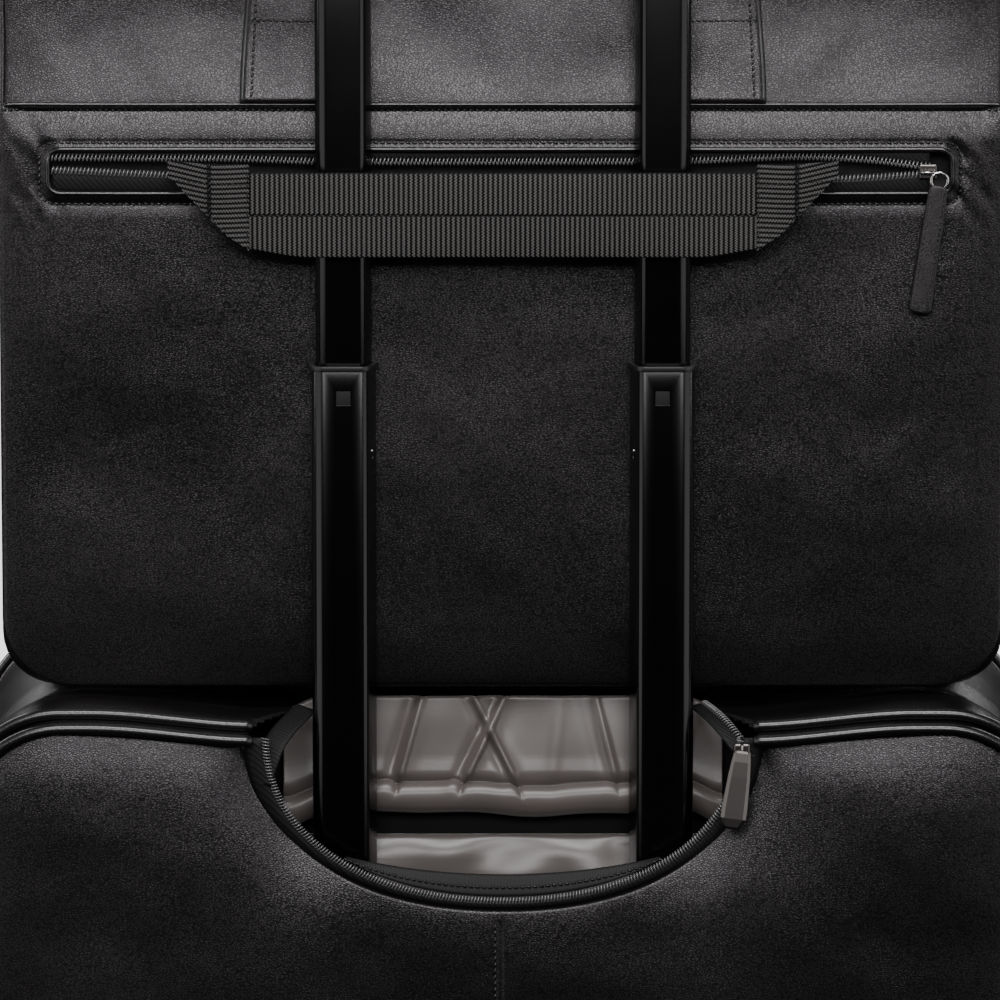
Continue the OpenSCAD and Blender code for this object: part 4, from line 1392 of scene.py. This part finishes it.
GRIP_WIDE, GRIP_THICK = 12.5, 11.5        # a carry handle's rolled grip
END_WIDE, END_THICK = 36.0, 3.2           # its flat ends


def handle_section(t):
    flat = smooth_step(0.5, 0.82, abs(2 * t - 1))
    return oval(GRIP_WIDE + (END_WIDE - GRIP_WIDE) * flat,
                GRIP_THICK + (END_THICK - GRIP_THICK) * flat, 24, 1.0 - 0.4 * flat)


def carry_handle(body, node, y):
    """A leather carry handle: flat ends that gather into a rolled grip."""
    base = LAP_TOP + 3
    arch = [(-84, y, base), (-84, y, base + 14), (-83.5, y, base + 28), (-82, y, base + 40),
            (-77, y, base + 52), (-68, y, base + 59.5), (-55, y, base + 62), (0, y, base + 62.5)]
    path = resample(there_and_back(arch), 3.0)
    # The flat ends lie across X, and the roll is round, so the section needs no twist.
    normal = unit(np.cross(unit(np.gradient(path, axis=0)), FRONT))
    points = []
    for i in range(len(path)):
        shape = handle_section(i / (len(path) - 1))
        points += list(path[i] + shape[:, :1] * normal[i] + shape[:, 1:] * FRONT)
    faces = grid_faces(len(path), 24, False, True) + end_caps(len(points), 24)
    add_piece(f"{body}_leather", points, faces, "trim", body, replaces=[node])
    seam = path[np.abs(path[:, 0]) < 66]
    face = REAR if y < LAP_ZIP else FRONT
    rows = [(seam + face * 5.0 - UP * 3.6, face)]
    for sign in (-1, 1):
        for x in (69.5, 99.5):
            rows.append((np.array([(sign * x, y, base + 3), (sign * x, y, base + 22)])
                         + face * 1.7, face))
    stitches(f"{body}_thread", rows, body)
    start = LAP_Y + 2 if y < LAP_ZIP else LAP_FRONT - 2
    for side, sign in SIDES:
        rows = []
        for t in np.linspace(0, 1, 14):
            z = LAP_TOP - 7 + 16 * t
            yy = start + (y - start) * smooth_step(0.15, 0.75, t)
            xs = np.linspace(64 + t, 103 - t, 12) * sign
            rows.append(at(xs, yy, z))
        root = loft(f"{body}_root_{side}", rows, "trim", None, 3.0)
        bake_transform(root)


# ---------------------------------------------------------------- sleeve strap
def rib_relief(along_ribs, across_ribs, pitch=2.0, yarn=1.2):
    """How far webbing stands out at a point: ribs, each of two columns of yarn loops."""
    rib = np.abs(np.sin(across_ribs * math.pi / pitch)) ** 1.1
    column = np.floor(across_ribs * 2 / pitch)
    loop = 0.5 + 0.5 * np.sin(along_ribs * 2 * math.pi / yarn + column * math.pi)
    split = np.abs(np.sin(across_ribs * 2 * math.pi / pitch)) ** 0.5
    return 0.42 * rib + 0.58 * rib * split * loop


YARN_RELIEF = 0.8                         # the yarns' height over the grooves


def woven_band(name, front, relief, thick, body, **more):
    """A band of webbing from rows of points on its face and the relief of each."""
    face = np.array([at(r[:, 0], r[:, 1] - YARN_RELIEF * k, r[:, 2]) for r, k in zip(front, relief)])
    back = np.array(front)[::-1][::8] + (0, thick, 0)
    rows = np.vstack([face, back])
    count, columns = len(rows), len(rows[0])
    faces = grid_faces(count, columns, True, False)
    faces.append(tuple(i * columns for i in range(count)))
    faces.append(tuple(i * columns + columns - 1 for i in reversed(range(count))))
    # The relief also sets the painted shade in the grooves; the back gets a middle tone.
    shade = np.concatenate([np.array(relief).ravel(), np.full(len(back) * columns, 0.5)])
    return add_piece(name, rows.reshape(-1, 3), faces, "webbing", body, relief=shade, **more)


STRAP_HALF = 103.6                        # the strap's flat length ends here, at its wings
# The wings' lower edge: distance from the middle, height.
WING_LOW = np.array([(102.2, 597.5), (111.6, 603.6), (133.0, 624.2), (135.5, 625.6)])
WING_ROW = 118.5                          # the stitched row across a wing


def make_strap():
    """The ribbed sleeve over the tubes, with a seam along its middle and a wing at each end."""
    low, high = cad("sleeve_strap")
    face_y, z0, z1 = low[1] + 0.9, low[2] + 0.4, high[2] - 0.3
    x = np.arange(-STRAP_HALF, STRAP_HALF, 0.25)
    front, relief = [], []
    for v in np.linspace(-1, 1, 118):
        shift = 0.0 if v > 0 else 1.0
        sag = 4.0 * smooth_step(78, STRAP_HALF + 6, np.abs(x)) * max(0.0, -v) ** 1.3
        seam = bell(v * 17.5, 0.45)
        z = (z0 + z1) / 2 + v * (z1 - z0) / 2
        bow = 0.8 * (1 - v ** 4) + 0.5 * np.sin(x / 31 + 1) * (1 - v * v)
        front.append(at(x, face_y - bow + 0.3 * seam, z + sag))
        relief.append(rib_relief(z, x + shift) * (1 - 0.8 * seam)
                      * (1 - 0.5 * smooth_step(0.96, 1, abs(v))))
    woven_band("strap_webbing", front, relief, 1.7, "laptop_case", replaces=["sleeve_strap"])
    x = np.linspace(-STRAP_HALF + 1, STRAP_HALF - 1, 160)
    seam = at(x, face_y - 0.55, (z0 + z1) / 2)
    stitches("strap_thread", [(seam, REAR)], "laptop_case", 3.0, 2.2, 0.5)
    for side, sign in SIDES:
        make_wing(side, sign, face_y - 1.9)


def make_wing(side, sign, face_y):
    """A strap end, folded at 45 degrees and sewn down, that goes in at the back pocket."""
    columns, rows = 130, 104
    inner, outer, top = WING_LOW[0, 0], WING_LOW[-1, 0], 632.6
    x = np.linspace(inner, outer, rows)
    low = np.interp(x, WING_LOW[:, 0], WING_LOW[:, 1])
    front, relief = [], []
    for i in range(rows):
        z = np.linspace(low[i], top - 0.02 * (x[i] - inner), columns)
        depth = 17.5 * smooth_step(inner + 4, outer + 8, x[i]) ** 1.2
        near_row = bell(x[i] - WING_ROW, 0.8)
        lift = 0.6 * np.sin((z - 600) / 9.0 + i / 30) + 0.35 * near_row
        front.append(at(sign * x[i], face_y + depth + lift, z))
        tilt = -0.14 if x[i] > WING_ROW else 0.05
        relief.append(rib_relief(x[i], z + tilt * (x[i] - WING_ROW)) * (1 - 0.7 * near_row))
    woven_band(f"strap_wing_{side}", front, relief, 1.5, "laptop_case")
    front = np.array(front)
    rise = (0, -0.55, 0)
    line = front[int(rows * 0.49), 10:-4:6] + rise
    edge = front[2, 4:-4:6] + rise
    cross = np.array([r[np.argmin(np.abs(r[:, 2] - 624.4))] for r in front[4:-14:6]]) + rise
    fold = np.array([r[5] for r in front[30:-20:6]]) + rise
    threads = [(row, REAR) for row in (line, edge, cross, fold)]
    stitches(f"strap_wing_thread_{side}", threads, "laptop_case", 2.6, 2.0, 0.5)
    # From the wing's outer edge the strap goes through the slot to the pocket's lining.
    out = front[-1, -40:-4:6] + (0, 0.6, 0)
    back = at(sign * 122, LAP_Y + 7.6, out[:, 2] - 3)
    rows = [out + (back - out) * smooth_step(0, 1, t) for t in np.linspace(0, 1, 12)]
    loft(f"strap_return_{side}", rows, "webbing", "laptop_case", 1.6)


# ---------------------------------------------------------------- back pocket zip
def soft_curve(points, xs, width=9):
    """A smooth curve near a few chosen points."""
    points = np.array(points)
    z = np.interp(xs, points[:, 0], points[:, 1])
    padded = np.concatenate([np.full(width, z[0]), z, np.full(width, z[-1])])
    kernel = np.ones(2 * width + 1) / (2 * width + 1)
    return np.convolve(padded, kernel, "valid")


def make_pocket_zip():
    """The back pocket's zip, which gapes: its two coils run along two curves."""
    body = "laptop_case"
    x0, x1, z0, z1 = SLOT
    x = np.linspace(x0 + 1.5, x1 - 9, 240)
    upper = soft_curve([(-181, 632.4), (-100, 631.9), (-75, 630.6), (75, 630.8), (105, 632.4),
                        (125, 633.0), (158, 630.9), (173, 627.9)], x)
    lower = soft_curve([(-181, 627.2), (-140, 625.3), (-100, 623.6), (100, 622.8), (130, 623.2),
                        (158, 624.4), (173, 626.0)], x)
    y = LAP_Y - 1.0
    for name, z, edge in (("upper", upper, z1 + 0.8), ("lower", lower, z0 - 0.8)):
        rows = [at(x, y + back, z + (edge - z) * share)
                for share, back in ((0.0, 0.9), (0.35, 0.8), (0.7, 1.0), (1.0, 2.0))]
        loft(f"pocket_tape_{name}", rows, "tape", body, 0.8, replaces=["pocket_zip"])
    lines = [at(x, y, z) for z in (upper, lower)]
    coils("pocket_coil", lines, REAR, body, 1.6, 2.9, 1.9, 0.34)


def make_pocket_pull():
    """The back pocket's slider, its ring and its leather pull, which hangs at a slant."""
    x, y, z = 173.0, LAP_Y - 0.4, 626.6
    block("pocket_slider_body", (x - 4.5, y - 2.0, z - 3.2), (x + 3.0, y - 0.2, z + 3.2),
          "gunmetal", "pocket_slider", 1.2, replaces=["pocket_slider"])
    bridge = [(x - 1 + 3.2 * math.cos(a), y - 2.0 - 2.6 * math.sin(a), z)
              for a in np.linspace(0, math.pi, 12)]
    tube("pocket_slider_bridge", bridge, 0.65, "silver", "pocket_slider", 8)
    pivot = np.array([177.0, LAP_Y - 7.0, 626.0])
    tilt = math.radians(8)
    down = np.array([-math.sin(tilt), 0, -math.cos(tilt)])
    side = np.array([math.cos(tilt), 0, -math.sin(tilt)])
    eye = [pivot + 3.4 * math.cos(a) * side + down * (2.6 + 3.4 * math.sin(a)) + (0, 0.3, 0)
           for a in np.linspace(0, 2 * math.pi, 22, endpoint=False)]
    tube("pocket_pull_ring", eye, 0.65, "silver", "pocket_pull", 8, True)
    path = np.array([pivot + down * s for s in np.linspace(4.5, 57, 60)])

    def section(t):
        start = 0.55 + 0.45 * math.sqrt(max(0.0, 1 - (1 - min(1, t / 0.07)) ** 2))
        end = 0.62 + 0.38 * math.sqrt(max(0.0, 1 - max(0, (t - 0.955) / 0.045) ** 2))
        return oval((8.0 + 1.2 * t) * start * end, 2.5, 20, 0.5)

    sweep("pocket_pull_leather", path, REAR, section, "trim", "pocket_pull",
          replaces=["pocket_pull"])
    rows = [(path[3:-3] + side * w + REAR * 1.25, REAR) for w in (-2.9, 2.9)]
    stitches("pocket_pull_thread", rows, "pocket_pull", 2.4, 1.8, 0.45)


# ---------------------------------------------------------------- handle tubes, wheels, base
def make_hard_parts():
    """The CAD nodes that are seen as they are."""
    dress(["socket_tubes", "stage_1_tubes", "stage_2_tubes", "stage_3_tubes"], "lacquer", 0.2)
    dress(["socket_collars", "stage_1_collars", "stage_2_collars"], "plastic", 0.15)
    dress(["socket_base", "base_tray", "wheel_housings", "front_feet"], "plastic", 0.6)
    dress(["grip_body"], "grip", 1.6)
    dress(["release_button", "hub_left", "hub_right"], "grey", 0.5)
    dress(["release_rods", "wheel_axles"], "steel", 0.2)
    dress(["tyre_left", "tyre_right"], "rubber", 0.0)
    # Painted shade: the near-black board fills the gap under the flap's hem as shadow.
    dress(["back_board"], "board", 0.3)
    dress(["laptop_divider"], "satin", 2.0)


def make_rivets():
    """Small rivets on the inner sides of the first stage's tubes."""
    for side, sign in SIDES:
        for k, z in enumerate((514.0, 511.0)):
            path = np.array([(sign * 53.2, -83.5 + 1.5 * k, z), (sign * 52.75, -83.7 + 1.5 * k, z)])
            tube(f"rivet_{side}_{k}", path, 0.8, "silver", "stage_1", 12)


def make_floor():
    """A pale floor that neither lights the object nor shows in its gloss."""
    half, near, far, z = 6.0, -1.3, 7.0, -0.0004
    corners = [(-half, near, z), (half, near, z), (half, far, z), (-half, far, z)]
    mesh = bpy.data.meshes.new("floor")
    mesh.from_pydata(corners, [], [(0, 1, 2, 3)])
    floor = bpy.data.objects.new("floor", mesh)
    bpy.context.scene.collection.objects.link(floor)
    floor.visible_glossy = False
    floor.visible_diffuse = False
    mat, bsdf = shader("floor", (0.88, 0.88, 0.88), 0.6)
    bsdf.inputs["Emission Color"].default_value = (1, 1, 1, 1)
    bsdf.inputs["Emission Strength"].default_value = 0.3
    mesh.materials.append(mat)


make_rear_shell()
make_piping()
make_well()
make_lining()
make_flap_zip()
make_well_slider()
make_main_zip()
make_front_half()
make_laptop_shell()
carry_handle("rear_handle", "laptop_handle_rear", -64.0)
carry_handle("front_handle", "laptop_handle_front", 22.0)
make_strap()
make_pocket_zip()
make_pocket_pull()
make_hard_parts()
make_rivets()
make_floor()
